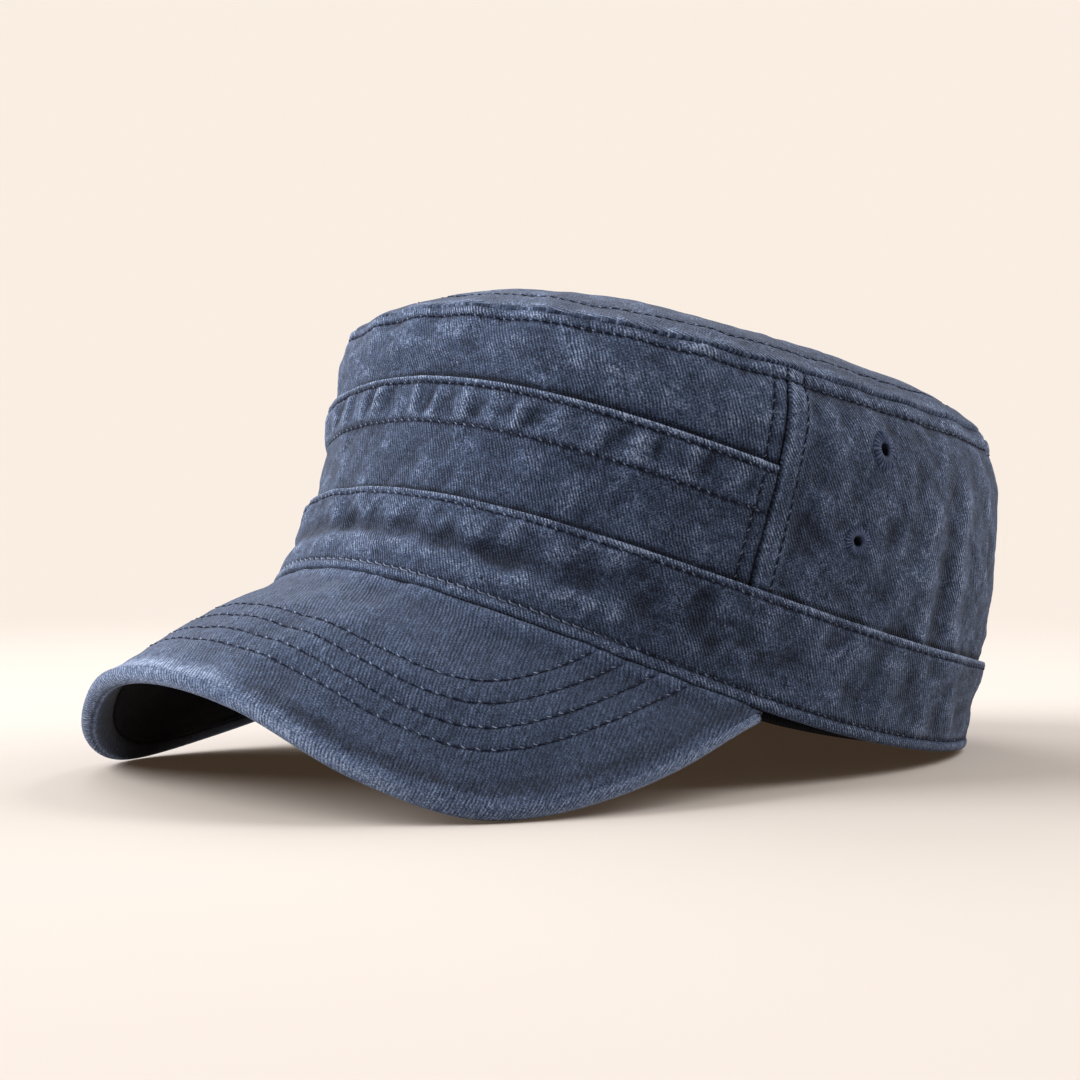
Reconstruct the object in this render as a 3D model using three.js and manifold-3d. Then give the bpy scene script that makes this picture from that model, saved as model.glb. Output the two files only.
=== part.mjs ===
// Field cap in cotton twill: a flat-topped crown over a wide band, a lapped and
// puckered front, two stitched air eyelets on each side and a curved peak.
//
// Millimetres, +Z up, peak towards -Y, +X the wearer's left when worn.
// Angles round the head are in degrees from the middle of the front, positive
// towards +X. "Cloth" is the height measured up the wall from the hem, and
// "out" is the distance outwards from the face of the crown's panels.

import * as THREE from 'three';
import { mergeVertices } from 'three/addons/utils/BufferGeometryUtils.js';
import Module from 'manifold-3d';

// ---------------------------------------------------------------- driving sizes

const FABRIC = 1.6;            // thickness of a crown panel
const GAP = 0.35;              // clearance between neighbouring pieces
const TILT = 14.3;             // how far the hem's plane leans back when the cap rests
const PLAN_POWER = 2.15;       // roundness of the head's outline, 2 is an ellipse

const BAND_HEIGHT = 29.5;      // cloth height of the band's folded top edge
const BAND_LAP = 8;            // how far the band laps over the panels
const BAND_STAND = 1.9;        // how far the band's top edge stands out
const LAP_TOP = 62.5;          // top edge of the lower front panel
const LAP_BOTTOM = 49.5;       // second stitch line of that lap
const LAP_STAND = 2.0;         // how far the lap stands out
const CROWN_SEAM = 87;         // seam between the wall and the crown's top
const DOME = 13.2;             // rise of the crown's top above its seam
const DOME_POWER = 5;          // flatness of the crown's top

const SEAM_Y = -35.5;          // side seams lie in this plane across the cap
const SEAM_ANGLE = 66.5;       // angle of that seam about half way up the wall
const SEAM_WIDTH = 5;          // strip beside each seam that stands proud
const SEAM_STAND = 1.0;

const PEAK_ANGLE = 76;         // the peak runs from -76 to 76 degrees along the hem
const RIM_RADIUS = 2.4;        // rounded front edge of the peak
const BOARD = 2.6;             // thickness of the peak at the hem
const RIM_TURN = 5;            // top cover turned under the peak by this much

const SWEATBAND_HEIGHT = 27;
const SWEATBAND = 1.1;         // thickness of the sweatband

const EYELET = { outer: 4.8, hole: 1.5, neck: 2.3, rim: 0.9 };

// The wall's outline at each cloth height.  Height and centre place the ring,
// halfWidth and halfLength size it, rise lifts its front and drops its back, and
// arch lifts front and back together and drops the sides.
const LEVELS = [
  { cloth: 0,  height: 0,    centre: -0.2, halfWidth: 77.0, halfLength: 101.5, rise: 0.2,  arch: 7.7 },
  { cloth: 29, height: 23.8, centre: 1.8,  halfWidth: 79.0, halfLength: 95.6,  rise: 1.1,  arch: 4.9 },
  { cloth: 62, height: 52.8, centre: 1.5,  halfWidth: 82.2, halfLength: 92.3,  rise: 1.9,  arch: 4.8 },
  { cloth: 76, height: 68.1, centre: -0.6, halfWidth: 81.2, halfLength: 92.4,  rise: -1.7, arch: 3.7 },
  { cloth: 87, height: 79.1, centre: -3.4, halfWidth: 77.2, halfLength: 88.8,  rise: -4.5, arch: 2.9 },
];

// Middle of the peak's rounded rim, in the cap's own frame, and the place on the
// hem from which the peak runs out to it.
const PEAK_RIM = [
  { angle: 0,  hem: 0,  x: 0,    y: -146.1, z: -26.5 },
  { angle: 20, hem: 17, x: 28.0, y: -141.2, z: -29.7 },
  { angle: 40, hem: 34, x: 55.7, y: -124.8, z: -40.3 },
  { angle: 55, hem: 47, x: 73.2, y: -103.3, z: -43.4 },
  { angle: 70, hem: 60, x: 80.5, y: -74.0,  z: -33.0 },
  { angle: 90, hem: PEAK_ANGLE, x: 78.0, y: -29.0,  z: -9.2 },
];

// Folds and dents of the wall: each is a soft ridge (or groove, below zero) along
// a line from one angle and cloth height to another.
const FOLDS = [
  { from: -34, low: 14, to: -4,  high: 18, width: 4,  stand: -1.3 },
  { from: -2,  low: 18, to: 32,  high: 16, width: 4,  stand: -1.6 },
  { from: 30,  low: 16, to: 58,  high: 20, width: 6,  stand: -0.9 },
  { from: -30, low: 10, to: 50,  high: 11, width: 4,  stand: 0.7 },
  { from: 92,  low: 30, to: 97,  high: 46, width: 4,  stand: 0.8 },
  { from: 103, low: 36, to: 100, high: 64, width: 5,  stand: 1.0 },
  { from: 107, low: 36, to: 106, high: 62, width: 4,  stand: -0.8 },
  { from: 113, low: 34, to: 109, high: 68, width: 5,  stand: 1.0 },
  { from: 84,  low: 6,  to: 88,  high: 24, width: 5,  stand: 0.6 },
  { from: 108, low: 6,  to: 111, high: 26, width: 4,  stand: 0.8 },
  { from: 118, low: 5,  to: 116, high: 26, width: 4,  stand: 0.9 },
  { from: 140, low: 44, to: 165, high: 52, width: 22, stand: 2.0 },
  { from: -98, low: 34, to: -94, high: 62, width: 6,  stand: 1.0 },
  { from: -112, low: 36, to: -118, high: 66, width: 6, stand: -1.0 },
  { from: -140, low: 44, to: -160, high: 52, width: 22, stand: 1.6 },
  { from: -104, low: 6, to: -100, high: 25, width: 5, stand: 0.8 },
  { from: 168, low: 6,  to: 160, high: 25, width: 6,  stand: 0.7 },
  { from: 12,  low: 66, to: 20,  high: 80, width: 8,  stand: -0.6 },
  { from: 44,  low: 70, to: 36,  high: 80, width: 8,  stand: 0.6 },
];
const PUCKERS = { count: 36, stand: 0.55 };     // gathers of the front lap, round the whole head
const BAND_PUCKERS = { count: 44, stand: 0.3 }; // gathers below the band's top edge
const SEAM_WAVES = { count: 26, stand: 0.4 };   // waviness of the crown along its seam
const SETTLE = { angle: -25, spread: 28, drop: 2.6 };  // the crown sags at one front corner

const COLOURS = {
  twill: 0x3f4c69,
  twillDark: 0x333e58,
  lining: 0x272d3c,
  thread: 0x303a52,
};

// ---------------------------------------------------------------- small helpers

const radians = THREE.MathUtils.degToRad;
const clamp = THREE.MathUtils.clamp;
const lerp = THREE.MathUtils.lerp;
const smoothstep = THREE.MathUtils.smoothstep;

// Smooth value of one column of a table, at a place along its key column.
function column(table, key, name, at) {
  const last = table.length - 1;
  let i = 0;
  while (i < last - 1 && at > table[i + 1][key]) i += 1;
  const slope = (k) => {
    const a = table[Math.max(k - 1, 0)];
    const b = table[Math.min(k + 1, last)];
    return (b[name] - a[name]) / (b[key] - a[key]);
  };
  const span = table[i + 1][key] - table[i][key];
  const t = (at - table[i][key]) / span;
  const t2 = t * t;
  const t3 = t2 * t;
  return (2 * t3 - 3 * t2 + 1) * table[i][name]
    + (t3 - 2 * t2 + t) * span * slope(i)
    + (3 * t2 - 2 * t3) * table[i + 1][name]
    + (t3 - t2) * span * slope(i + 1);
}

function range(count, make) {
  return Array.from({ length: count }, (_, i) => make(i));
}

// ---------------------------------------------------------------- the wall

const MM_PER_DEGREE = 1.5;     // along the wall, near enough for folds and stitches

function foldStand(angle, cloth) {
  let stand = 0;
  for (const fold of FOLDS) {
    const dx = (fold.to - fold.from) * MM_PER_DEGREE;
    const dy = fold.high - fold.low;
    const px = (angle - fold.from) * MM_PER_DEGREE;
    const py = cloth - fold.low;
    const along = clamp((px * dx + py * dy) / (dx * dx + dy * dy), 0, 1);
    const away = Math.hypot(px - along * dx, py - along * dy) / fold.width;
    stand += fold.stand * Math.exp(-away * away);
  }
  return stand;
}

// Gathers fade in and out between two cloth heights.
function gathers({ count, stand }, angle, cloth, low, high) {
  if (cloth <= low || cloth >= high) return 0;
  const middle = Math.sin(Math.PI * (cloth - low) / (high - low));
  const lean = 0.12 * (cloth - low);
  return stand * middle * Math.cos(radians(count * (angle + lean)));
}

function relief(angle, cloth) {
  let stand = foldStand(angle, cloth);
  stand += gathers(BAND_PUCKERS, angle, cloth, 12, BAND_HEIGHT);
  stand += gathers(SEAM_WAVES, angle, cloth, 80, 2 * CROWN_SEAM - 80);
  if (Math.abs(angle) < SEAM_ANGLE - 2) stand += gathers(PUCKERS, angle, cloth, LAP_BOTTOM, LAP_TOP);
  const hem = smoothstep(cloth, 0, 4);
  return stand * hem;
}

function wallBase(angle, cloth) {
  const level = (name) => column(LEVELS, 'cloth', name, cloth);
  const c = Math.cos(radians(angle));
  const s = Math.sin(radians(angle));
  const round = (Math.abs(c) ** PLAN_POWER + Math.abs(s) ** PLAN_POWER) ** (-1 / PLAN_POWER);
  const off = (angle - SETTLE.angle) / SETTLE.spread;
  const settle = SETTLE.drop * Math.exp(-off * off) * smoothstep(cloth, 10, CROWN_SEAM);
  return new THREE.Vector3(
    level('halfWidth') * s * round,
    level('centre') - level('halfLength') * c * round,
    level('height') + level('rise') * c + level('arch') * Math.cos(radians(2 * angle)) - settle,
  );
}

function wallNormal(angle, cloth) {
  const along = wallBase(angle + 0.5, cloth).sub(wallBase(angle - 0.5, cloth));
  const up = wallBase(angle, cloth + 0.5).sub(wallBase(angle, cloth - 0.5));
  return along.cross(up).normalize();
}

// A point a distance out from the panels' face, with and without folds.
function smoothWall(angle, cloth, out) {
  return wallBase(angle, cloth).addScaledVector(wallNormal(angle, cloth), out);
}

function wall(angle, cloth, out) {
  return smoothWall(angle, cloth, out + relief(angle, cloth));
}

// Where the side seam's plane meets the wall, for each cloth height.
function seamAngle(cloth) {
  let low = 50;
  let high = 85;
  for (let i = 0; i < 30; i += 1) {
    const middle = (low + high) / 2;
    if (wallBase(middle, cloth).y < SEAM_Y) low = middle;
    else high = middle;
  }
  return low;
}

// ---------------------------------------------------------------- solids from layers

// A closed body between two grids of points: outer[j][i] and inner[j][i], with j
// along the piece and i across it.  When closed, the last j joins the first.
function layeredBody(outer, inner, closed) {
  const positions = [];
  const quad = (a, b, c, d) => {
    for (const p of [a, b, c, a, c, d]) positions.push(p.x, p.y, p.z);
  };
  const steps = outer.length;
  const across = outer[0].length;
  const last = closed ? steps : steps - 1;
  for (let j = 0; j < last; j += 1) {
    const k = (j + 1) % steps;
    for (let i = 0; i < across - 1; i += 1) {
      quad(outer[j][i], outer[k][i], outer[k][i + 1], outer[j][i + 1]);
      quad(inner[j][i], inner[j][i + 1], inner[k][i + 1], inner[k][i]);
    }
    const e = across - 1;
    quad(outer[j][0], inner[j][0], inner[k][0], outer[k][0]);
    quad(outer[j][e], outer[k][e], inner[k][e], inner[j][e]);
  }
  if (!closed) {
    for (let i = 0; i < across - 1; i += 1) {
      quad(outer[0][i], outer[0][i + 1], inner[0][i + 1], inner[0][i]);
      const e = steps - 1;
      quad(outer[e][i], inner[e][i], inner[e][i + 1], outer[e][i + 1]);
    }
  }
  return closedGeometry(positions);
}

// Shares the vertices, drops triangles with no area and turns the faces out.
function closedGeometry(positions) {
  const loose = new THREE.BufferGeometry();
  loose.setAttribute('position', new THREE.Float32BufferAttribute(positions, 3));
  const merged = mergeVertices(loose, 1e-3);
  const index = merged.index.array;
  const kept = [];
  for (let i = 0; i < index.length; i += 3) {
    const [a, b, c] = [index[i], index[i + 1], index[i + 2]];
    if (a !== b && b !== c && c !== a) kept.push(a, b, c);
  }
  merged.setIndex(kept);
  if (signedVolume(merged) < 0) {
    for (let i = 0; i < kept.length; i += 3) [kept[i], kept[i + 1]] = [kept[i + 1], kept[i]];
    merged.setIndex(kept);
  }
  return merged;
}

function signedVolume(geometry) {
  const position = geometry.attributes.position;
  const corner = (k) => new THREE.Vector3().fromBufferAttribute(position, geometry.index.array[k]);
  let volume = 0;
  for (let i = 0; i < geometry.index.count; i += 3) {
    volume += corner(i).dot(corner(i + 1).cross(corner(i + 2))) / 6;
  }
  return volume;
}

// A strip of the wall: rows give, at each cloth height, how far the outside and
// the inside stand out, and may be functions of the angle.
function wallBody(rows, angles, closed) {
  const value = (v, angle) => (typeof v === 'function' ? v(angle) : v);
  const layer = (side) => angles.map((at) => rows.map((row) => {
    const angle = typeof at === 'function' ? at(row.cloth) : at;
    return wall(angle, row.cloth, value(row[side], angle));
  }));
  return layeredBody(layer('outside'), layer('inside'), closed);
}

// ---------------------------------------------------------------- the pieces

const FRONT_STEPS = 48;
const SIDE_STEPS = 26;
const RING_STEPS = 96;

const ringAngles = (steps) => range(steps, (j) => 360 * j / steps - 180);

// The front panels run from seam to seam, and stop short of the side panels.
const frontAngles = range(FRONT_STEPS + 1, (j) => (cloth) => {
  const half = seamAngle(cloth) - GAP / MM_PER_DEGREE;
  return half * (2 * j / FRONT_STEPS - 1);
});

// Closer steps beside the seam, where the strip stands proud.
function sideAngles(side) {
  return range(SIDE_STEPS + 1, (j) => (cloth) => {
    const start = seamAngle(cloth);
    const end = 180 - GAP / 2 / MM_PER_DEGREE;
    const strip = SEAM_WIDTH / MM_PER_DEGREE;
    const first = [0, strip * 0.85, strip * 1.15];
    const t = (j - first.length + 1) / (SIDE_STEPS - first.length + 1);
    const at = j < first.length ? start + first[j] : lerp(start + strip * 1.15, end, t);
    return side * at;
  });
}

function seamStrip(angle, slack = 0) {
  const away = (Math.abs(angle) - SEAM_ANGLE) * MM_PER_DEGREE - slack;
  return SEAM_STAND * (1 - smoothstep(away, SEAM_WIDTH, SEAM_WIDTH + 1.5));
}

// The lap thins out where it runs under the side panels' edges.
function lapStand(angle) {
  const away = (SEAM_ANGLE - Math.abs(angle)) * MM_PER_DEGREE;
  return lerp(SEAM_STAND, LAP_STAND, smoothstep(away, 0, 5));
}

const panelFoot = BAND_HEIGHT - BAND_LAP + GAP;
const LAP_MIDDLE = (LAP_BOTTOM + LAP_TOP) / 2;

function frontPanelUpper() {
  const tucked = -FABRIC;
  const rows = [
    { cloth: LAP_BOTTOM + GAP, outside: -0.3, inside: tucked },
    { cloth: LAP_MIDDLE, outside: -0.3, inside: tucked },
    { cloth: LAP_TOP, outside: -0.2, inside: tucked },
    { cloth: LAP_TOP + 5, outside: 0, inside: tucked },
    { cloth: 78, outside: 0, inside: tucked },
    { cloth: CROWN_SEAM, outside: 0, inside: tucked },
  ];
  return wallBody(rows, frontAngles, false);
}

function frontPanelLower() {
  const rows = [
    { cloth: panelFoot, outside: 0, inside: -FABRIC },
    { cloth: 35, outside: 0, inside: -FABRIC },
    { cloth: LAP_BOTTOM - 0.6, outside: 0.3, inside: -FABRIC },
    { cloth: LAP_BOTTOM, outside: 0.9, inside: GAP - 0.2 },
    { cloth: LAP_MIDDLE, outside: lapStand, inside: GAP - 0.1 },
    { cloth: LAP_TOP, outside: lapStand, inside: GAP },
  ];
  return wallBody(rows, frontAngles, false);
}

function sidePanel(side) {
  const heights = [panelFoot, 31, 42, 54, 65, 78, CROWN_SEAM];
  const rows = heights.map(
    (cloth) => ({ cloth, outside: (angle) => seamStrip(angle), inside: -FABRIC }));
  return wallBody(rows, sideAngles(side), false);
}

function band() {
  const lap = BAND_HEIGHT - BAND_LAP;
  const clear = (angle) => GAP + (Math.abs(angle) < SEAM_ANGLE - 6 ? 0 : seamStrip(angle, 6));
  const rows = [
    { cloth: 0, outside: 1.3, inside: -FABRIC },
    { cloth: 4, outside: 1.6, inside: -FABRIC },
    { cloth: 6, outside: 0.8, inside: -FABRIC },
    { cloth: 14, outside: 0.9, inside: -FABRIC },
    { cloth: lap - 0.2, outside: 1.5, inside: -FABRIC },
    { cloth: lap, outside: 1.6, inside: clear },
    { cloth: BAND_HEIGHT, outside: (a) => Math.max(BAND_STAND, clear(a) + 0.9), inside: clear },
  ];
  return wallBody(rows, ringAngles(RING_STEPS), true);
}

// The sweatband is sewn in along the hem and stands free of the band's dents above it.
function sweatband() {
  const rows = [
    { cloth: 0.8, out: -FABRIC - GAP },
    { cloth: 6, out: -FABRIC - 0.9 },
    { cloth: 14, out: -FABRIC - 2.1 },
    { cloth: SWEATBAND_HEIGHT, out: -FABRIC - 2.1 },
  ];
  const angles = ringAngles(RING_STEPS / 2);
  const layer = (depth) => angles.map((angle) => rows.map(
    (row) => smoothWall(angle, row.cloth, row.out - depth)));
  return layeredBody(layer(0), layer(SWEATBAND), true);
}

// The crown's top: its edge follows the wall's seam, and it domes towards the middle.
const CROWN_MIDDLE = new THREE.Vector3(0, -3.4, 79);

function crownBase(angle, reach) {
  const rim = wallBase(angle, CROWN_SEAM + GAP);
  rim.addScaledVector(wallNormal(angle, CROWN_SEAM + GAP), relief(angle, CROWN_SEAM) * reach ** 6);
  const point = CROWN_MIDDLE.clone().lerp(rim, reach);
  point.z += DOME * (1 - reach ** DOME_POWER);
  return point;
}

function crown(angle, reach, out) {
  if (reach > 0.999) return crownBase(angle, 1).addScaledVector(wallNormal(angle, CROWN_SEAM), out);
  if (reach < 0.001) return crownBase(angle, 0).add(new THREE.Vector3(0, 0, out));
  const step = 0.01;
  const along = crownBase(angle + 1, reach).sub(crownBase(angle - 1, reach));
  const inward = crownBase(angle, reach - step).sub(crownBase(angle, reach + step / 2));
  const normal = along.cross(inward).normalize();
  return crownBase(angle, reach).addScaledVector(normal, out);
}

function crownTop() {
  const reaches = [1, 0.96, 0.88, 0.74, 0.5, 0.25, 0];
  const angles = ringAngles(RING_STEPS * 2 / 3);
  const layer = (out) => angles.map((angle) => reaches.map((reach) => crown(angle, reach, out)));
  return layeredBody(layer(0), layer(-FABRIC), true);
}

// The peak: a curved board from the hem out to its rounded rim.
const PEAK_STEPS = 32;
const CURL = 2.5;              // how far the peak's middle bows above a straight run

function rimPoint(angle) {
  const mirrored = { ...PEAK_RIM[1], angle: -PEAK_RIM[1].angle, x: -PEAK_RIM[1].x };
  const table = [mirrored, ...PEAK_RIM];
  const value = (name) => column(table, 'angle', name, Math.abs(angle));
  return new THREE.Vector3(Math.sign(angle) * value('x'), value('y'), value('z'));
}

function hemAngle(angle) {
  return Math.sign(angle) * column(PEAK_RIM, 'angle', 'hem', Math.abs(angle));
}

const hemInset = new THREE.Vector3(0, 0, -GAP - BOARD / 2);
const PEAK_ROOT = -0.4;        // the board's inner edge, from the face of the panels

function peakBase(angle, reach) {
  const hem = wallBase(hemAngle(angle), 0);
  hem.addScaledVector(wallNormal(hemAngle(angle), 0).setZ(0), PEAK_ROOT).add(hemInset);
  const point = hem.lerp(rimPoint(angle), reach);
  const middle = Math.cos(radians(angle)) ** 0.5;
  point.z += CURL * middle * Math.sin(Math.PI * clamp(reach, 0, 1)) ** 1.5;
  return point;
}

function peakFrame(angle, reach) {
  const a = clamp(angle, -89, 89);
  const r = clamp(reach, 0.02, 0.98);
  const along = peakBase(a + 1, r).sub(peakBase(a - 1, r));
  const outward = peakBase(a, r + 0.02).sub(peakBase(a, r - 0.02));
  const normal = outward.clone().cross(along).normalize();
  return { normal, outward: along.clone().cross(normal).normalize() };
}

// One row across the peak: a distance inwards from the rim's middle, measured
// along the peak but never past a share of its reach, and the heights of the
// top and bottom faces there.
const PEAK_ROWS = [
  { inward: Infinity, least: 0,    top: BOARD / 2,         bottom: -BOARD / 2 + 0.4 },
  { inward: 42,       least: 0.3,  top: BOARD / 2,         bottom: -BOARD / 2 + 0.4 },
  { inward: 22,       least: 0.55, top: BOARD / 2 + 0.1,   bottom: -BOARD / 2 + 0.4 },
  { inward: RIM_TURN + 1, least: 0.75, top: 1.7,           bottom: -BOARD / 2 + 0.4 },
  { inward: RIM_TURN, least: 0.8,  top: 1.9,               bottom: -RIM_RADIUS },
  { inward: 0,        least: 1,    top: RIM_RADIUS,        bottom: -RIM_RADIUS },
  { inward: -0.7 * RIM_RADIUS, least: 1, top: 0.7 * RIM_RADIUS, bottom: -0.7 * RIM_RADIUS },
  { inward: -RIM_RADIUS, least: 1, top: 0.2 * RIM_RADIUS,  bottom: -0.2 * RIM_RADIUS },
];

// The rim thins away at the peak's two corners, where it runs in under the band.
const cornerThickness = (angle) => lerp(1, 0.5, smoothstep(Math.abs(angle), 78, 90));

function peakPoint(angle, inward, least, height) {
  const length = peakBase(angle, 0).distanceTo(peakBase(angle, 1));
  const reach = Math.max(1 - Math.max(inward, 0) / length, least);
  const { normal, outward } = peakFrame(angle, reach);
  const thick = cornerThickness(angle);
  const point = peakBase(angle, reach).addScaledVector(normal, height * thick);
  return point.addScaledVector(outward, Math.max(-inward, 0) * thick);
}

function peak() {
  const angles = range(PEAK_STEPS + 1, (j) => 180 * j / PEAK_STEPS - 90);
  const layer = (side) => angles.map((angle) => PEAK_ROWS.map(
    (row) => peakPoint(angle, row.inward, row.least, row[side])));
  return layeredBody(layer('top'), layer('bottom'), false);
}

// The cloth under the peak lies inside the turned edge of the top cover.
function peakUnderside() {
  const cloth = 1.0;
  const top = -BOARD / 2 + 0.4 - GAP;
  const rows = [
    { inward: Infinity, least: 0.04 },
    { inward: 42, least: 0.3 },
    { inward: 22, least: 0.5 },
    { inward: RIM_TURN + 1 + GAP, least: 0.7 },
  ];
  const angles = range(PEAK_STEPS - 3, (j) => 165 * j / (PEAK_STEPS - 4) - 82.5);
  const layer = (height) => angles.map((angle) => rows.map(
    (row) => peakPoint(angle, row.inward, row.least, height)));
  return layeredBody(layer(top), layer(top - cloth), false);
}

// ---------------------------------------------------------------- eyelets

const EYELETS = [
  { name: 'upper', angle: 87,   cloth: 74.5 },
  { name: 'lower', angle: 83.5, cloth: 51.5 },
];

function eyeletPlace(side, { angle, cloth }) {
  const place = new THREE.Group();
  const out = wallNormal(side * angle, cloth);
  place.position.copy(wall(side * angle, cloth, 0));
  place.quaternion.setFromUnitVectors(new THREE.Vector3(0, 1, 0), out);
  return place;
}

// A stitched ring: a rounded flange on the face and a neck through the cloth.
function eyeletRing() {
  const { outer, hole, neck, rim } = EYELET;
  const back = -FABRIC - 0.1;
  const seat = GAP + 0.1;
  const profile = [
    [hole, back], [neck, back], [neck, seat], [outer - 0.3, seat], [outer, seat + rim * 0.4],
    [outer - 0.8, seat + rim], [hole + 0.5, seat + rim], [hole, seat + rim * 0.4], [hole, back],
  ].map(([r, h]) => new THREE.Vector2(r, h));
  return new THREE.LatheGeometry(profile, 14);
}

const wasm = await Module();
wasm.setup();

function toManifold(geometry) {
  const bare = geometry.clone();
  bare.deleteAttribute('normal');
  bare.deleteAttribute('uv');
  const shared = mergeVertices(bare, 1e-4);
  return new wasm.Manifold(new wasm.Mesh({
    numProp: 3,
    vertProperties: new Float32Array(shared.attributes.position.array),
    triVerts: new Uint32Array(shared.index.array),
  }));
}

function toGeometry(solid) {
  const mesh = solid.getMesh();
  const geometry = new THREE.BufferGeometry();
  geometry.setAttribute('position', new THREE.BufferAttribute(mesh.vertProperties, 3));
  geometry.setIndex(new THREE.BufferAttribute(mesh.triVerts, 1));
  return geometry;
}

// A side panel with a round hole under each of its eyelets.
function piercedSidePanel(side) {
  let solid = toManifold(sidePanel(side));
  for (const spot of EYELETS) {
    const drill = new THREE.CylinderGeometry(EYELET.neck + GAP, EYELET.neck + GAP, 12, 14);
    const place = eyeletPlace(side, spot);
    place.updateMatrix();
    drill.applyMatrix4(place.matrix);
    solid = solid.subtract(toManifold(drill));
  }
  return toGeometry(solid);
}

// ---------------------------------------------------------------- assembly

function cloth(color) {
  return new THREE.MeshStandardMaterial({ color, roughness: 0.92, metalness: 0, flatShading: true });
}

function piece(name, geometry, material) {
  const mesh = new THREE.Mesh(geometry, material);
  mesh.name = name;
  return mesh;
}

const twill = cloth(COLOURS.twill);
const twillDark = cloth(COLOURS.twillDark);
const lining = cloth(COLOURS.lining);
const thread = cloth(COLOURS.thread);

const cap = new THREE.Group();
cap.add(piece('crown_top', crownTop(), twill));
cap.add(piece('front_panel_upper', frontPanelUpper(), twill));
cap.add(piece('front_panel_lower', frontPanelLower(), twillDark));
cap.add(piece('band', band(), twill));
cap.add(piece('sweatband', sweatband(), lining));
cap.add(piece('peak', peak(), twill));
cap.add(piece('peak_underside', peakUnderside(), lining));
for (const [name, side] of [['left', 1], ['right', -1]]) {
  cap.add(piece(`side_panel_${name}`, piercedSidePanel(side), twill));
  for (const spot of EYELETS) {
    const place = eyeletPlace(side, spot);
    place.add(piece(`eyelet_${name}_${spot.name}`, eyeletRing(), thread));
    cap.add(place);
  }
}
cap.rotation.x = -radians(TILT);

// The cap stands on the ground plane, on the back of its hem and the two sides
// of its peak, with the middle of its footprint at the origin.
const part = new THREE.Group();
part.add(cap);
part.updateMatrixWorld(true);
const box = new THREE.Box3().setFromObject(part, true);
part.position.set(0, -(box.min.y + box.max.y) / 2, -box.min.z);

export default part;
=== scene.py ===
# Field cap in washed cotton twill: the cloth, stitching and finish over the packed
# solids.  The row frame is in metres; sizes in this script are in millimetres until
# they reach a mesh.  Angles round the head are in degrees from the middle of the
# front, "cloth" is the height up the wall from the hem, and "out" is the distance
# outwards from the face of the crown's panels, all as in the solids' own source.

import math

import bpy
import numpy as np
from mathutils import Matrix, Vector
from numpy import concatenate as joined


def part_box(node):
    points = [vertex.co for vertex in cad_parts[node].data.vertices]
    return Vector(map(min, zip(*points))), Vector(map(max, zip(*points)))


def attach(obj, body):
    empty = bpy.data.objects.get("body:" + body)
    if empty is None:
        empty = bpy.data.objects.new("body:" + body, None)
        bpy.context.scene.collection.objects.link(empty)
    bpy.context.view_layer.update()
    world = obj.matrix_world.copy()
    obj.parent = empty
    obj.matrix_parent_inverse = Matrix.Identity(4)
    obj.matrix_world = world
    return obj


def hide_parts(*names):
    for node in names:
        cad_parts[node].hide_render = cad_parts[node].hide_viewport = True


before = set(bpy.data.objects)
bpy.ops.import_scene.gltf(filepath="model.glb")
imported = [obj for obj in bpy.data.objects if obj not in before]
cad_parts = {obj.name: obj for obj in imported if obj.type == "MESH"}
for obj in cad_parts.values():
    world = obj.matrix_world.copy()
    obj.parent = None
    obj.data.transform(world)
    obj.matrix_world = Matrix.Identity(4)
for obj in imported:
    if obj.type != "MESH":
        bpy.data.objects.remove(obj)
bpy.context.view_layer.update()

# ---------------- shape of the cap

FABRIC = 1.6
GAP = 0.35
TILT = 14.3
PLAN_POWER = 2.15
BAND_HEIGHT = 29.5
BAND_LAP = 8
LAP_TOP = 62.5
LAP_BOTTOM = 49.5
LAP_STAND = 2.0
CROWN_SEAM = 87
DOME = 13.2
DOME_POWER = 5
CROWN_MIDDLE = np.array([0, -3.4, 79])
SEAM_Y = -35.5
SEAM_ANGLE = 66.5
SEAM_WIDTH = 5
SEAM_STAND = 1.0
RIM_RADIUS = 2.4
BOARD = 2.6
RIM_TURN = 5
PEAK_ROOT = -0.4
CURL = 2.5
SWEATBAND_HEIGHT = 27
SWEATBAND = 1.1
DEGREE = 1.5                    # round the head
ROUND = 360 * DEGREE

# cloth, height, centre, halfWidth, halfLength, rise, arch
LEVELS = np.array([
    [0, 0, -0.2, 77.0, 101.5, 0.2, 7.7],
    [29, 23.8, 1.8, 79.0, 95.6, 1.1, 4.9],
    [62, 52.8, 1.5, 82.2, 92.3, 1.9, 4.8],
    [76, 68.1, -0.6, 81.2, 92.4, -1.7, 3.7],
    [87, 79.1, -3.4, 77.2, 88.8, -4.5, 2.9],
])

# angle, hem, x, y, z
PEAK_RIM = np.array([
    [0, 0, 0, -146.1, -26.5],
    [20, 17, 28.0, -141.2, -29.7],
    [40, 34, 55.7, -124.8, -40.3],
    [55, 47, 73.2, -103.3, -43.4],
    [70, 60, 80.5, -74.0, -33.0],
    [90, 76, 78.0, -29.0, -9.2],
])

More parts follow.
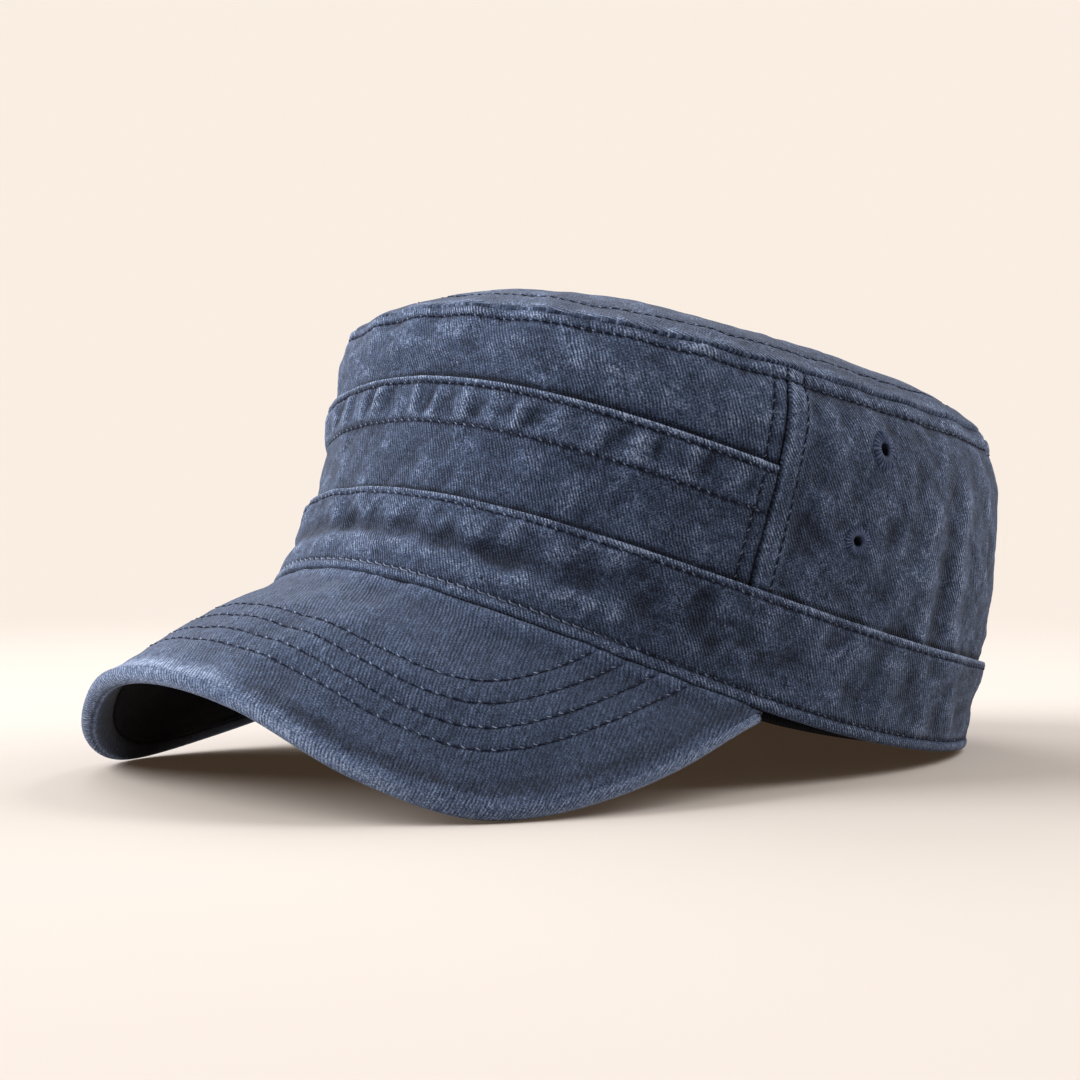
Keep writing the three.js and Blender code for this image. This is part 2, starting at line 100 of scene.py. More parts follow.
# Broad folds of the wall: from angle, low, to angle, high, width, stand
FOLDS = [
    (-34, 14, -4, 18, 4, -1.3), (-2, 18, 32, 16, 4, -1.6), (30, 16, 58, 20, 6, -0.9),
    (-30, 10, 50, 11, 4, 0.7), (92, 30, 97, 46, 4, 0.8), (103, 36, 100, 64, 5, 1.0),
    (107, 36, 106, 62, 4, -0.8), (113, 34, 109, 68, 5, 1.0), (84, 6, 88, 24, 5, 0.6),
    (108, 6, 111, 26, 4, 0.8), (118, 5, 116, 26, 4, 0.9), (140, 44, 165, 52, 22, 2.0),
    (-98, 34, -94, 62, 6, 1.0), (-112, 36, -118, 66, 6, -1.0), (-140, 44, -160, 52, 22, 1.6),
    (-104, 6, -100, 25, 5, 0.8), (168, 6, 160, 25, 6, 0.7), (12, 66, 20, 80, 8, -0.6),
    (44, 70, 36, 80, 8, 0.6),
]


def ease(x, low, high):
    """Rises from 0 at low to 1 at high, level at both."""
    t = np.clip((x - low) / (high - low), 0, 1)
    return t * t * (3 - 2 * t)


def bell(x, at, width):
    """1 at a place and fading to both sides of it."""
    return np.exp(-((x - at) / width) ** 2)


def groove(x, at, width, depth):
    return -depth * bell(x, at, width)


def both(angle, other):
    """The two as arrays of one shape."""
    return np.broadcast_arrays(np.asarray(angle, float), np.asarray(other, float))


def cosine(angle):
    return np.cos(np.radians(angle))


def hermite(table, column, at):
    """Smooth value of a table's column at a place along its first column."""
    keys, values = table[:, 0], table[:, column]
    last = len(keys) - 1
    i = np.clip(np.searchsorted(keys, at, "left") - 1, 0, last - 1)
    low, high = np.maximum(np.arange(last + 1) - 1, 0), np.minimum(np.arange(last + 1) + 1, last)
    slope = (values[high] - values[low]) / (keys[high] - keys[low])
    span = keys[i + 1] - keys[i]
    t = (at - keys[i]) / span
    return ((2 * t**3 - 3 * t**2 + 1) * values[i] + (t**3 - 2 * t**2 + t) * span * slope[i]
            + (3 * t**2 - 2 * t**3) * values[i + 1] + (t**3 - t**2) * span * slope[i + 1])


def profile(pairs, at):
    table = np.array(pairs, float)
    return hermite(table, 1, np.clip(at, table[0, 0], table[-1, 0]))


def wall_base(angle, cloth):
    """The face of the crown's panels, before any fold."""
    angle, cloth = both(angle, cloth)
    height, centre, width, length, rise, arch = (hermite(LEVELS, k, cloth) for k in range(1, 7))
    c, s = cosine(angle), np.sin(np.radians(angle))
    rounding = (abs(c) ** PLAN_POWER + abs(s) ** PLAN_POWER) ** (-1 / PLAN_POWER)
    settle = 2.6 * bell(angle, -25, 28) * ease(cloth, 10, CROWN_SEAM)
    return np.stack([
        width * s * rounding,
        centre - length * c * rounding,
        height + rise * c + arch * cosine(2 * angle) - settle,
    ], -1)


def norm(v):
    return np.linalg.norm(v, axis=-1)


def unit(v):
    return v / np.maximum(norm(v), 1e-12)[..., None]


def wall_normal(angle, cloth):
    along = wall_base(angle + 0.5, cloth) - wall_base(angle - 0.5, cloth)
    up = wall_base(angle, cloth + 0.5) - wall_base(angle, cloth - 0.5)
    return unit(np.cross(along, up))


def line_fold(angle, cloth, fold):
    a0, c0, a1, c1, width, stand = fold
    dx, dy = (a1 - a0) * DEGREE, c1 - c0
    px, py = (angle - a0) * DEGREE, cloth - c0
    along = np.clip((px * dx + py * dy) / (dx * dx + dy * dy), 0, 1)
    away = np.hypot(px - along * dx, py - along * dy) / width
    return stand * np.exp(-away * away)


def gathers(count, stand, angle, cloth, low, high):
    middle = np.sin(np.pi * np.clip((cloth - low) / (high - low), 0, 1))
    return stand * middle * cosine(count * (angle + 0.12 * (cloth - low)))


def relief(angle, cloth):
    stand = (sum(line_fold(angle, cloth, fold) for fold in FOLDS)
             + gathers(44, 0.3, angle, cloth, 12, BAND_HEIGHT)
             + gathers(26, 0.4, angle, cloth, 80, 2 * CROWN_SEAM - 80))
    return stand * ease(cloth, 0, 4)


def wall(angle, cloth, out):
    return wall_base(angle, cloth) + wall_normal(angle, cloth) * np.asarray(out)[..., None]


def seam_angle(cloth):
    """Where the side seam is: the angle at which the wall crosses its plane."""
    low, high = np.full_like(cloth, 50.0), np.full_like(cloth, 85.0)
    for _ in range(30):
        middle = (low + high) / 2
        ahead = wall_base(middle, cloth)[..., 1] < SEAM_Y
        low, high = np.where(ahead, middle, low), np.where(ahead, high, middle)
    return low


# ---------------- finer relief

def ripple(angle, cloth, size, seed):
    """Smooth random waves of about one length, with no join round the head."""
    rng = np.random.default_rng(seed)
    terms = 14
    turns, phases = rng.uniform(0, np.pi, terms), rng.uniform(0, 2 * np.pi, terms)
    total = 0
    for turn, phase, scale in zip(turns, phases, rng.uniform(0.7, 1.4, terms)):
        across = round(ROUND * math.cos(turn) * scale / size)
        up = 2 * np.pi * math.sin(turn) * scale / size
        total = total + np.sin(np.radians(across * angle) + up * cloth + phase)
    return total / math.sqrt(terms / 2)


def creases(angle, cloth, rows):
    """Narrow ridges: angle, cloth, lean in mm over its length, length, width, stand."""
    total = np.zeros(np.broadcast(angle, cloth).shape)
    for a0, c0, lean, length, width, stand in rows:
        x, y = (angle - a0) * DEGREE, cloth - c0
        x = x - lean * y / length
        total += stand * np.exp(-(x / width) ** 2 - (2 * y / length) ** 4)
    return total


def drawn(rng, *ranges):
    """A number from each range, drawn in turn."""
    return [rng.uniform(low, high) for low, high in ranges]


def lap_creases():
    rng = np.random.default_rng(5)
    seen = [-6, 4, 9, 15.5, 21, 26, 32.5, 39, 45.5, 53, 60]
    left = list(-12 - 6.2 * np.arange(9) + rng.uniform(-1.4, 1.4, 9))
    rows = []
    for at in seen + left:
        rows.append([at] + drawn(rng, (54.5, 56.5), (0.6, 3.2), (8, 11), (1.5, 2.6), (0.45, 0.9)))
        beside, *rest = drawn(rng, (2.2, 3.6), (54, 58), (0, 3), (5, 8), (1.2, 2.0), (-0.5, -0.2))
        rows.append([at + beside] + rest)
    return rows


def band_creases():
    rng = np.random.default_rng(11)
    rows = []
    for at in np.arange(-176, 184, 5.6) + rng.uniform(-1.6, 1.6, 65):
        *rest, stand = drawn(rng, (21.5, 24.5), (2, 6), (6, 11), (1.5, 2.8), (0.15, 0.5))
        rows.append([at, *rest, (1.0 if -60 < at < 66 else 0.6) * stand])
    for at in np.arange(-178, 180, 4.3):
        beside, *rest = drawn(rng, (-1.5, 1.5), (7, 10), (-2, 3), (4, 8), (0.9, 1.5), (0.1, 0.3))
        rows.append([at + beside] + rest)
    return rows


def side_creases():
    rng = np.random.default_rng(23)
    rows = []
    for _ in range(46):
        at = rng.uniform(70, 178) * rng.choice([-1, 1])
        rows.append([at] + drawn(rng, (34, 80), (-7, 5), (9, 24), (1.2, 2.6), (0.15, 0.5)))
    return rows


LAP_CREASES, BAND_CREASES, SIDE_CREASES = lap_creases(), band_creases(), side_creases()


def crumple(angle, cloth, seed):
    """The general unevenness of washed cloth."""
    fine = 0.16 * ripple(angle, cloth, 17, seed) + 0.07 * ripple(angle, cloth, 7, seed + 1)
    return fine + 0.035 * ripple(angle, cloth, 3.2, seed + 2)


PITCH = 2.7                     # stitch length along a seam


def needle_holes(angle):
    return cosine(angle * round(ROUND / PITCH))


def pulled(angle, cloth, line, depth):
    """A row of stitches round the wall draws the cloth in, most at each needle hole."""
    return groove(cloth, line, 0.55, depth) + groove(cloth, line, 1.0, 0.35 * depth) * needle_holes(angle)


HEM_STITCH, FOLD_STITCH = 3.4, 27.4
LAP_STITCH, LAP_FOOT_STITCH = 60.4, 49.6
CROWN_STITCH = 83.6
SEAM_STITCH = 5.0               # behind the side seam
FRONT_STITCH = 3.6              # ahead of it
BACK_STITCH = 3.5               # to each side of the seam at the back


def band_out(angle, cloth):
    stand = profile([(0, 1.2), (1.5, 1.45), (2.6, 1.3), (3.4, 1.0), (5.5, 1.0), (14, 0.95),
                     (21, 1.5), (25, 1.75), (28.3, 2.1), (29.5, 1.9)], cloth)
    return (stand + 0.8 * relief(angle, cloth) + 0.9 * crumple(angle, cloth, 31) * ease(cloth, 2, 8)
            + creases(angle, cloth, BAND_CREASES)
            + pulled(angle, cloth, HEM_STITCH, 0.4) + pulled(angle, cloth, FOLD_STITCH, 0.4))


def band_back(angle, cloth):
    return np.where(cloth > BAND_HEIGHT - BAND_LAP, np.maximum(band_out(angle, cloth) - 0.9, 0.3),
                    relief(angle, cloth) - FABRIC)


def from_seam(angle, cloth):
    """Distance round the wall behind the side seam."""
    return (abs(angle) - seam_angle(cloth + 0 * angle)) * DEGREE


def front_furrow(angle, cloth):
    """Along the stitches ahead of the side seam."""
    return groove(from_seam(angle, cloth), -FRONT_STITCH, 0.6, 0.3)


def crown_edge(angle, cloth):
    stand = profile([(78, 0), (82, 0.05), (83, 0), (84.4, 0.3), (86, 0.4), (87, 0.15)], cloth)
    waves = 0.1 * ripple(angle, cloth * 0.5, 12, 61) * ease(cloth, 80, 84)
    return stand + waves + pulled(angle, cloth, CROWN_STITCH, 0.4)


def lap_stand(angle):
    away = (SEAM_ANGLE - abs(angle)) * DEGREE
    return SEAM_STAND + (LAP_STAND - SEAM_STAND) * ease(away, 0, 5)


def lower_out(angle, cloth):
    stand = profile([(21, 0), (35, 0.1), (46, 0.5), (49.6, 0.75)], cloth)
    lap = ease(cloth, LAP_BOTTOM - 0.2, LAP_BOTTOM + 2)
    rise = 0.35 + 0.65 * ease(cloth, LAP_BOTTOM, LAP_TOP - 3)
    stand = stand + (lap_stand(angle) - 0.75) * lap * rise + relief(angle, cloth)
    stand = stand + creases(angle, cloth, LAP_CREASES) * lap * (1 - ease(cloth, 59.5, 60.5))
    return (stand + 0.8 * crumple(angle, cloth, 41)
            + pulled(angle, cloth, LAP_FOOT_STITCH, 0.4) + pulled(angle, cloth, LAP_STITCH, 0.45)
            + 0.3 * bell(cloth, 61.6, 0.7) + front_furrow(angle, cloth))


def upper_out(angle, cloth):
    stand = profile([(49, -0.3), (62.5, -0.2), (67, 0), (87, 0)], cloth) + relief(angle, cloth)
    stand = stand + (0.9 * crumple(angle, cloth, 51) + crown_edge(angle, cloth)) * ease(cloth, 62, 66)
    return stand + front_furrow(angle, cloth) * ease(cloth, 62, 64)


def side_out(angle, cloth):
    behind = from_seam(angle, cloth)
    welt = SEAM_STAND * (1 - ease(behind, SEAM_WIDTH, SEAM_WIDTH + 1.8))
    welt = welt * (0.35 + 0.65 * ease(cloth, 28, 31)) * (1 - 0.9 * ease(cloth, 79, 84))
    uneven = 1.1 * crumple(angle, cloth, 71) + creases(angle, cloth, SIDE_CREASES)
    rear = (180 - abs(angle)) * DEGREE
    return (welt + relief(angle, cloth) + crown_edge(angle, cloth) + uneven * ease(behind, 2, 9)
            + groove(behind, SEAM_STITCH, 0.7, 0.45) + 0.2 * bell(behind, 1.1, 0.9)
            + groove(rear, BACK_STITCH, 0.6, 0.3) + groove(rear, 0, 0.7, 0.5))


# ---------------- the crown's top

CROWN_REACH = 80.0              # about how far the crown's edge is from its middle
TOP_STITCH = 8.0                # from the crown's edge


def crown_base(angle, reach):
    angle, reach = both(angle, reach)
    rim = wall_base(angle, CROWN_SEAM + GAP)
    waves = relief(angle, np.full_like(angle, CROWN_SEAM)) * reach**6
    rim = rim + wall_normal(angle, np.full_like(angle, CROWN_SEAM + GAP)) * waves[..., None]
    point = CROWN_MIDDLE + (rim - CROWN_MIDDLE) * reach[..., None]
    point[..., 2] += DOME * (1 - abs(reach) ** DOME_POWER)
    return point


def crown_normal(angle, reach):
    r = np.clip(reach, 0.02, 0.985)
    along = crown_base(angle + 1, r) - crown_base(angle - 1, r)
    inward = crown_base(angle, r - 0.01) - crown_base(angle, r + 0.01)
    return unit(np.cross(along, inward))


def crown_point(angle, reach, out):
    return crown_base(angle, reach) + crown_normal(angle, reach) * out[..., None]


def crown_out(angle, reach):
    inset = (1 - reach) * CROWN_REACH
    x, y = reach * cosine(angle), reach * np.sin(np.radians(angle))
    flat = 0.16 * ripple(x * 60, y * 90, 34, 81) + 0.09 * ripple(x * 60, y * 90, 9, 82)
    stand = profile([(0, 0), (0.9, 0.3), (2.4, 0.35), (3.8, 0.15), (5.5, 0.1), (9, 0)], inset)
    return (stand + 0.1 * ripple(angle, inset * 0.5, 12, 62) * (1 - ease(inset, 3, 9))
            + groove(inset, TOP_STITCH, 0.55, 0.3) + groove(inset, TOP_STITCH, 1.0, 0.1) * needle_holes(angle)
            + flat * ease(inset, 1, 8))


# ---------------- the peak

def rim_point(angle):
    table = np.vstack([PEAK_RIM[1] * np.array([-1, 1, -1, 1, 1]), PEAK_RIM])
    at = abs(angle)
    x, y, z = (hermite(table, k, at) for k in (2, 3, 4))
    return np.stack([np.sign(angle) * x, y, z], -1)


def peak_base(angle, reach):
    angle, reach = both(angle, reach)
    hem_angle = np.sign(angle) * hermite(PEAK_RIM, 1, abs(angle))
    zero = np.zeros_like(hem_angle)
    normal = wall_normal(hem_angle, zero)
    normal[..., 2] = 0
    hem = wall_base(hem_angle, zero) + normal * PEAK_ROOT
    hem[..., 2] -= GAP + BOARD / 2
    point = hem + (rim_point(angle) - hem) * reach[..., None]
    middle = np.clip(cosine(angle), 0, 1) ** 0.5
    point[..., 2] += CURL * middle * np.sin(np.pi * np.clip(reach, 0, 1)) ** 1.5
    return point


def peak_frame(angle, reach):
    a, r = np.clip(angle, -89, 89), np.clip(reach, 0.02, 0.98)
    along = peak_base(a + 1, r) - peak_base(a - 1, r)
    outward = peak_base(a, r + 0.02) - peak_base(a, r - 0.02)
    normal = unit(np.cross(outward, along))
    return normal, unit(np.cross(along, normal))


def peak_thickness(angle):
    return 1 - 0.5 * ease(abs(angle), 78, 90)


def peak_point(angle, reach, height):
    """A place that far over the middle of the peak's board."""
    return peak_base(angle, reach) + peak_frame(angle, reach)[0] * (height * peak_thickness(angle))[..., None]


def peak_length(angle):
    return norm(peak_base(angle, 1.0) - peak_base(angle, 0.0))


PEAK_STITCHES = (14.2, 19.9, 25.9, 31.4)     # from the rim
PEAK_PITCH = 3.4
RIM_LINE = peak_base(np.linspace(-90, 90, 361), 1.0)


def from_rim(points):
    """Distance from the middle of the peak's rim, rounded where two sides of it are as near.

    Each length of rim adds its distance to a high negative power; along a straight rim
    the sum turns back into the plain distance."""
    power = 8
    straight = math.sqrt(math.pi) * math.gamma((power - 1) / 2) / math.gamma(power / 2)
    total = np.zeros(points.shape[:-1])
    for middle, length in zip((RIM_LINE[1:] + RIM_LINE[:-1]) / 2, norm(np.diff(RIM_LINE, axis=0))):
        total += length * (((points - middle) ** 2).sum(-1) + 0.05) ** (-power / 2)
    return (total / straight) ** (-1 / (power - 1))


def peak_out(angle, reach, edge):
    """How far the top face stands over the board's middle; edge is the distance from the rim."""
    from_hem = peak_length(angle) * reach
    stand = profile([(0, RIM_RADIUS), (3, 2.1), (RIM_TURN + 1, 1.75), (12, 1.45), (22, 1.4), (80, 1.3)], edge)
    for line in PEAK_STITCHES:
        stand = stand + groove(edge, line, 0.5, 0.2)
    first, last = PEAK_STITCHES[0], PEAK_STITCHES[-1]
    between = ease(edge, first - 2, first + 2) * (1 - ease(edge, last - 2, last + 3))
    return (stand + 0.16 * ripple(angle, edge, 24, 91) + 0.05 * ripple(angle, edge, 8, 92)
            + 0.05 * ripple(angle * 1.6, edge * 0.4, 5, 93) * between
            + (0.75 + 0.5 * ease(abs(angle), 35, 55)) * bell(from_hem, 0, 4))


# ---------------- meshes

# cloth, out
SWEATBAND_ROWS = [(0.8, -FABRIC - GAP), (6, -FABRIC - 0.9), (14, -FABRIC - 2.1),
                  (SWEATBAND_HEIGHT, -FABRIC - 2.1)]


def spun(x, y, degrees):
    c, s = math.cos(math.radians(degrees)), math.sin(math.radians(degrees))
    return x * c - y * s, x * s + y * c


def lean_back(points):
    x, y, z = np.moveaxis(points, -1, 0)
    return np.stack([x, *spun(y, z, -TILT)], -1)


def settle_in_frame():
    """Where the solids' frame puts the cap: the sweatband's box is matched."""
    angles = np.arange(48) * 7.5 - 180
    points = joined([lean_back(wall(angles, cloth, out - depth))
                             for cloth, out in SWEATBAND_ROWS for depth in (0, SWEATBAND)])
    low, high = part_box("sweatband")
    return (np.array(low) + np.array(high)) * 500 - (points.min(0) + points.max(0)) / 2


SHIFT = settle_in_frame()


def placed(points):
    return (lean_back(points) + SHIFT) / 1000


def add_object(name, data):
    thing = bpy.data.objects.new(name, data)
    bpy.context.scene.collection.objects.link(thing)
    return thing


def make_mesh(name, points, faces, weave=None, **values):
    """A piece, from points in the cap's own frame, with its weave and its vertices' values."""
    mesh = bpy.data.meshes.new(name)
    mesh.from_pydata(placed(points).reshape(-1, 3).tolist(), [], faces)
    mesh.polygons.foreach_set("use_smooth", [True] * len(mesh.polygons))
    mesh.update()
    for key, value in values.items():
        layer = mesh.attributes.new(key, "FLOAT", "POINT")
        layer.data.foreach_set("value", np.asarray(value, np.float32).ravel())
    if weave:
        set_weave(mesh, faces, *weave)
    return add_object(name, mesh)


def set_weave(mesh, faces, places, grain, ring=False):
    """Counts places on the cloth in wales: across them, then along them.

    places are the vertices', in mm, and stay unbroken where a ring joins up; grain is
    the wales' slope in degrees and the distance between two of them."""
    corners = places.reshape(-1, 2)[joined([np.asarray(f) for f in faces])]
    if ring:
        quad = corners.reshape(-1, 4, 2)
        spread = quad[..., 0].max(1) - quad[..., 0].min(1)
        jump = (spread > ROUND / 2)[:, None] & (quad[..., 0] < 0)
        quad[..., 0] += np.where(jump, ROUND, 0)
    along, across = spun(*corners.T / grain[1], grain[0])
    layer = mesh.uv_layers.new(name="weave")
    layer.data.foreach_set("uv", np.stack([across, along], -1).astype(np.float32).ravel())


def on_cloth(angle, cloth):
    return np.stack(np.broadcast_arrays(angle * DEGREE, cloth), -1)


def blurred(field, steps, wrap):
    """Mean over a few neighbours each way, twice, along one axis after the other."""
    for axis, reach in enumerate(steps):
        for _ in range(2):
            pad = [(0, 0), (0, 0)]
            pad[axis] = (reach, reach)
            wide = np.pad(field, pad, mode="wrap" if wrap and axis == 0 else "edge")
            total = np.cumsum(joined([np.zeros_like(np.take(wide, [0], axis)), wide], axis), axis)
            n = field.shape[axis]
            upper = np.take(total, np.arange(n) + 2 * reach + 1, axis)
            field = (upper - np.take(total, np.arange(n), axis)) / (2 * reach + 1)
    return field


def rubbed_and_shaded(stand, wrap, scale=0.6):
    """Ridges wear light, and hollows are painted darker as shade."""
    near = stand - blurred(stand, (2, 3), wrap)
    wide = stand - blurred(stand, (7, 9), wrap)
    return np.clip(0.5 * near / (0.45 * scale) + 0.5 * wide / scale, -0.8, 1.2)


# Lines round the wall: height, half width, amount. The pale ones are rubbed; the dark ones under the rows of
# stitches and just above the edges of the band and the lap are painted shadow, and those at the crown's seam
# are the dark join.
BAND_LINES = [(29.3, 0.75, 0.9), (27.4, 0.4, -0.4), (3.4, 0.4, -0.3), (0.6, 0.7, 0.35)]
LOWER_LINES = [(62.2, 0.75, 0.9), (60.4, 0.4, -0.4), (49.6, 0.4, -0.4), (30.3, 0.9, -1.2)]
UPPER_LINES = [(63.3, 0.9, -1.3), (83.6, 0.4, -0.35), (85.2, 0.9, 0.25), (87, 0.5, -0.8)]
SIDE_LINES = [(30.3, 0.9, -1.2), (83.6, 0.4, -0.35), (85.2, 0.9, 0.25), (87, 0.5, -0.8)]

# Painted light and shade: where the wall is coloured paler as it faces the lamps and darker as it turns from
# them: angle, height, reach of each, amount
LIGHT_AND_SHADE_PATCHES = [(0, 76, 60, 11, 0.06), (52, 76, 18, 11, 0.07), (58, 14, 16, 13, -0.1), (62, 50, 12, 9, -0.07),
        (100, 52, 16, 22, 0.05), (-8, 22, 14, 8, -0.05), (74, 52, 8, 14, -0.03), (-5, 42, 16, 8, -0.02)]


def lines(cloth, table):
    return sum(amount * bell(cloth, height, width) for height, width, amount in table)


# Painted light and shade over the wall, summed from the table above.
def painted_light_and_shade(angle, cloth):
    return sum(amount * np.exp(-((angle - a) / wide) ** 2 - ((cloth - c) / high) ** 2)
               for a, c, wide, high, amount in LIGHT_AND_SHADE_PATCHES)


def seam_lines(angle, cloth):
    """Beside the side seam: the strip's rubbed edge, painted shadow along the stitches and the dark join."""
    behind = from_seam(angle, cloth)
    rubbed = 0.4 * bell(behind, 1.3, 0.8) + 0.3 * bell(behind, 6.6, 0.8)
    stitched = 0.35 * bell(behind, SEAM_STITCH, 0.4) + 0.3 * bell(behind, -FRONT_STITCH, 0.4)
    return (rubbed - stitched - 0.8 * bell(behind, 0, 0.5)) * ease(cloth, BAND_HEIGHT - 2, BAND_HEIGHT)


def grid_faces(columns, rows, ring, tube=True, turned=False):
    """Quads over a grid of vertices numbered column by column.

    A ring's last column meets its first, and a tube's last row its first. A tube that
    is no ring has a cap at each end. turned gives every face its other side."""
    j = np.arange(columns if ring else columns - 1)[:, None]
    i = np.arange(rows if tube else rows - 1)[None]
    ahead, up = (j + 1) % columns * rows, (i + 1) % rows
    faces = np.stack([j * rows + i, ahead + i, ahead + up, j * rows + up], -1).reshape(-1, 4).tolist()
    if tube and not ring:
        faces += [list(range(rows))[::-1], list(range((columns - 1) * rows, columns * rows))]
    return [f[::-1] for f in faces] if turned else faces


FOLD_STEPS = 5                  # rows round the fold at a strip's edge


def strip(name, angles, cloth, outer, inner, table, grain, ring=False, edges=(0.3, 0.6), inner_rows=9):
    """A strip of wall with a rounded fold at its top and bottom edges.

    angles is a function of cloth that gives every column's angle; outer and inner
    give how far each face stands out; table is the lines drawn on it, pale where rubbed and dark as painted
    shadow."""
    low, high = cloth
    bottom, top = edges
    rows = np.arange(low + bottom, high - top + 0.25, 0.5)
    rows[-1] = high - top
    seen = len(rows)
    arc = np.arange(1, FOLD_STEPS + 1) / (FOLD_STEPS + 1)
    bulge, share = np.sin(np.pi * arc), (1 - np.cos(np.pi * arc)) / 2
    inside = np.linspace(high - top, low + bottom, inner_rows)
    section = joined([rows, high - top + top * bulge, inside, low + bottom - bottom * bulge])
    place = angles(section)
    face = outer(place[:, :seen], rows)
    back = inner(angles(inside), inside)
    over = face[:, -1:] + (back[:, :1] - face[:, -1:]) * share
    under = back[:, -1:] + (face[:, :1] - back[:, -1:]) * share
    out = joined([face, over, back, under], 1)
    wear = np.zeros_like(out)
    # Rubbed ridges and lines, with painted shade in the hollows, under the stitches and just above the band
    # and the lap.
    wear[:, :seen] = rubbed_and_shaded(face, ring) + lines(rows, table)
    if not ring:
        out = round_ends(out, seen, place)
        wear[:, :seen] += seam_lines(place[:, :seen], rows)
    wear[:, seen:seen + FOLD_STEPS] = wear[:, seen - 1:seen] * (1 - share) + (table[0][2] > 0) * 0.8 * bulge
    faces = grid_faces(*out.shape, ring, turned=place[0, 0] > place[-1, 0])
    return make_mesh(name, wall(place, section, out), faces, (on_cloth(place, section), grain, ring),
                     wear=wear, tone=painted_light_and_shade(place, section))


def round_ends(out, seen, place):
    """Thins the strip's first and last columns to a rounded edge."""
    middle = (out[:, :seen].mean(1, keepdims=True)
              + out[:, seen + FOLD_STEPS + 1:-FOLD_STEPS].mean(1, keepdims=True)) / 2
    step = abs(place - place[:1]).mean(1) * DEGREE
    end = abs(place[-1:] - place).mean(1) * DEGREE
    near = np.clip(np.minimum(step, end) / 0.6, 0, 1)
    keep = 0.25 + 0.75 * np.sqrt(1 - (1 - near) ** 2)
    return middle + (out - middle) * keep[:, None]


def spaced(steps):
    """Places from 0 to 1 with three closer ones at each end."""
    extra = np.array([0.12, 0.3, 0.6]) / steps
    return np.sort(joined([np.linspace(0, 1, steps + 1), extra, 1 - extra]))


ALL_ROUND = (np.arange(720) / 2 - 180)[:, None]


def ring_angles(cloth):
    return ALL_ROUND + 0 * cloth


def front_angles(cloth):
    half = seam_angle(cloth) - 0.1 / DEGREE
    return half * (2 * spaced(288)[:, None] - 1)


def side_angles(side):
    """From the side seam to the seam at the back, where the left panel runs under the right."""
    def places(cloth):
        start, end = seam_angle(cloth), 180 + (0.3 if side > 0 else -GAP / 2) / DEGREE
        return side * (start + (end - start) * spaced(240)[:, None])
    return places


SIDES = (("left", 1), ("right", -1))


def make_walls():
    tucked = lambda a, c: -FABRIC + relief(a, c)
    lap_back = lambda a, c: np.where(c > LAP_BOTTOM - 0.3, 0.25, -FABRIC) + relief(a, c)
    foot = BAND_HEIGHT - BAND_LAP + GAP
    return [
        strip("band_cloth", ring_angles, (0, BAND_HEIGHT), band_out, band_back, BAND_LINES, (60, 0.72),
              True, (0.9, 0.7), 19),
        strip("front_panel_lower_cloth", front_angles, (foot, LAP_TOP), lower_out, lap_back,
              LOWER_LINES, (64, 0.76), edges=(0.3, 0.7), inner_rows=17),
        strip("front_panel_upper_cloth", front_angles, (LAP_BOTTOM + GAP, CROWN_SEAM), upper_out, tucked,
              UPPER_LINES, (77, 0.86)),
    ] + [strip(f"side_panel_{name}_cloth", side_angles(side), (foot, CROWN_SEAM), side_out, tucked,
               SIDE_LINES, (58, 0.76)) for name, side in SIDES]


# Lines in from the crown's edge: inset, half width, amount. The dark one at the stitches is painted shadow,
# the pale one is rubbed, and the one at the edge is the dark seam join.
CROWN_LINES = [(TOP_STITCH, 0.5, -0.4), (1.4, 0.9, 0.35), (0, 0.6, -0.8)]


def make_crown():
    inset = joined([np.arange(0.6, 12, 0.45), np.linspace(12, 78, 30)])
    reach = 1 - inset / CROWN_REACH
    face = crown_out(ALL_ROUND, reach)
    inner_reach = np.array([1 - 0.6 / CROWN_REACH, 0.96, 0.88, 0.74, 0.5, 0.25, 0.06])
    outer = crown_point(ALL_ROUND, reach, face)
    inner = crown_point(ALL_ROUND, inner_reach, np.array([-FABRIC - 0.7] + [-FABRIC] * 6))
    arc = np.arange(1, 5) / 5
    share = (1 + np.cos(np.pi * arc)) / 2
    first, last = inner[:, :1], outer[:, :1]
    outward = unit(outer[:, :1] - outer[:, 1:2])
    edge = last + (first - last) * share[:, None] + outward * (0.5 * np.sin(np.pi * arc))[:, None]
    grid = joined([inner[:, ::-1], edge, outer], 1)
    columns, count = grid.shape[:2]
    middle = crown_base(0, 0) + np.array([(0, 0, -FABRIC), (0, 0, face[:, -1].mean())])
    points = joined([grid.reshape(-1, 3), middle])
    under, over = columns * count, columns * count + 1
    j = np.arange(columns) * count
    k = np.roll(j, -1)
    faces = grid_faces(columns, count, True, False)
    faces += [[int(a), int(b), under] for a, b in zip(k, j)]
    faces += [[int(a), int(b), over] for a, b in zip(j + count - 1, k + count - 1)]
    wear = np.zeros((columns, count))
    # Rubbed ridges, with painted shade in the hollows and under the stitches.
    wear[:, -len(reach):] = 0.5 * rubbed_and_shaded(face, True) + lines(inset, CROWN_LINES)
    wear[:, -len(reach) - len(arc):-len(reach)] = 0.3
    return make_mesh("crown_top_cloth", points, faces, (points[:, :2], (152, 0.86)),
                     wear=np.append(wear, [0, 0]))


PEAK_GRAIN = (124, 0.88)
TURNS = np.radians([15, 30, 45, 60, 75, 90, 105, 120, 132, 141, 150, 159, 168])      # round the rim
TURNED_EDGE = bell(TURNS, math.radians(146), 0.15)


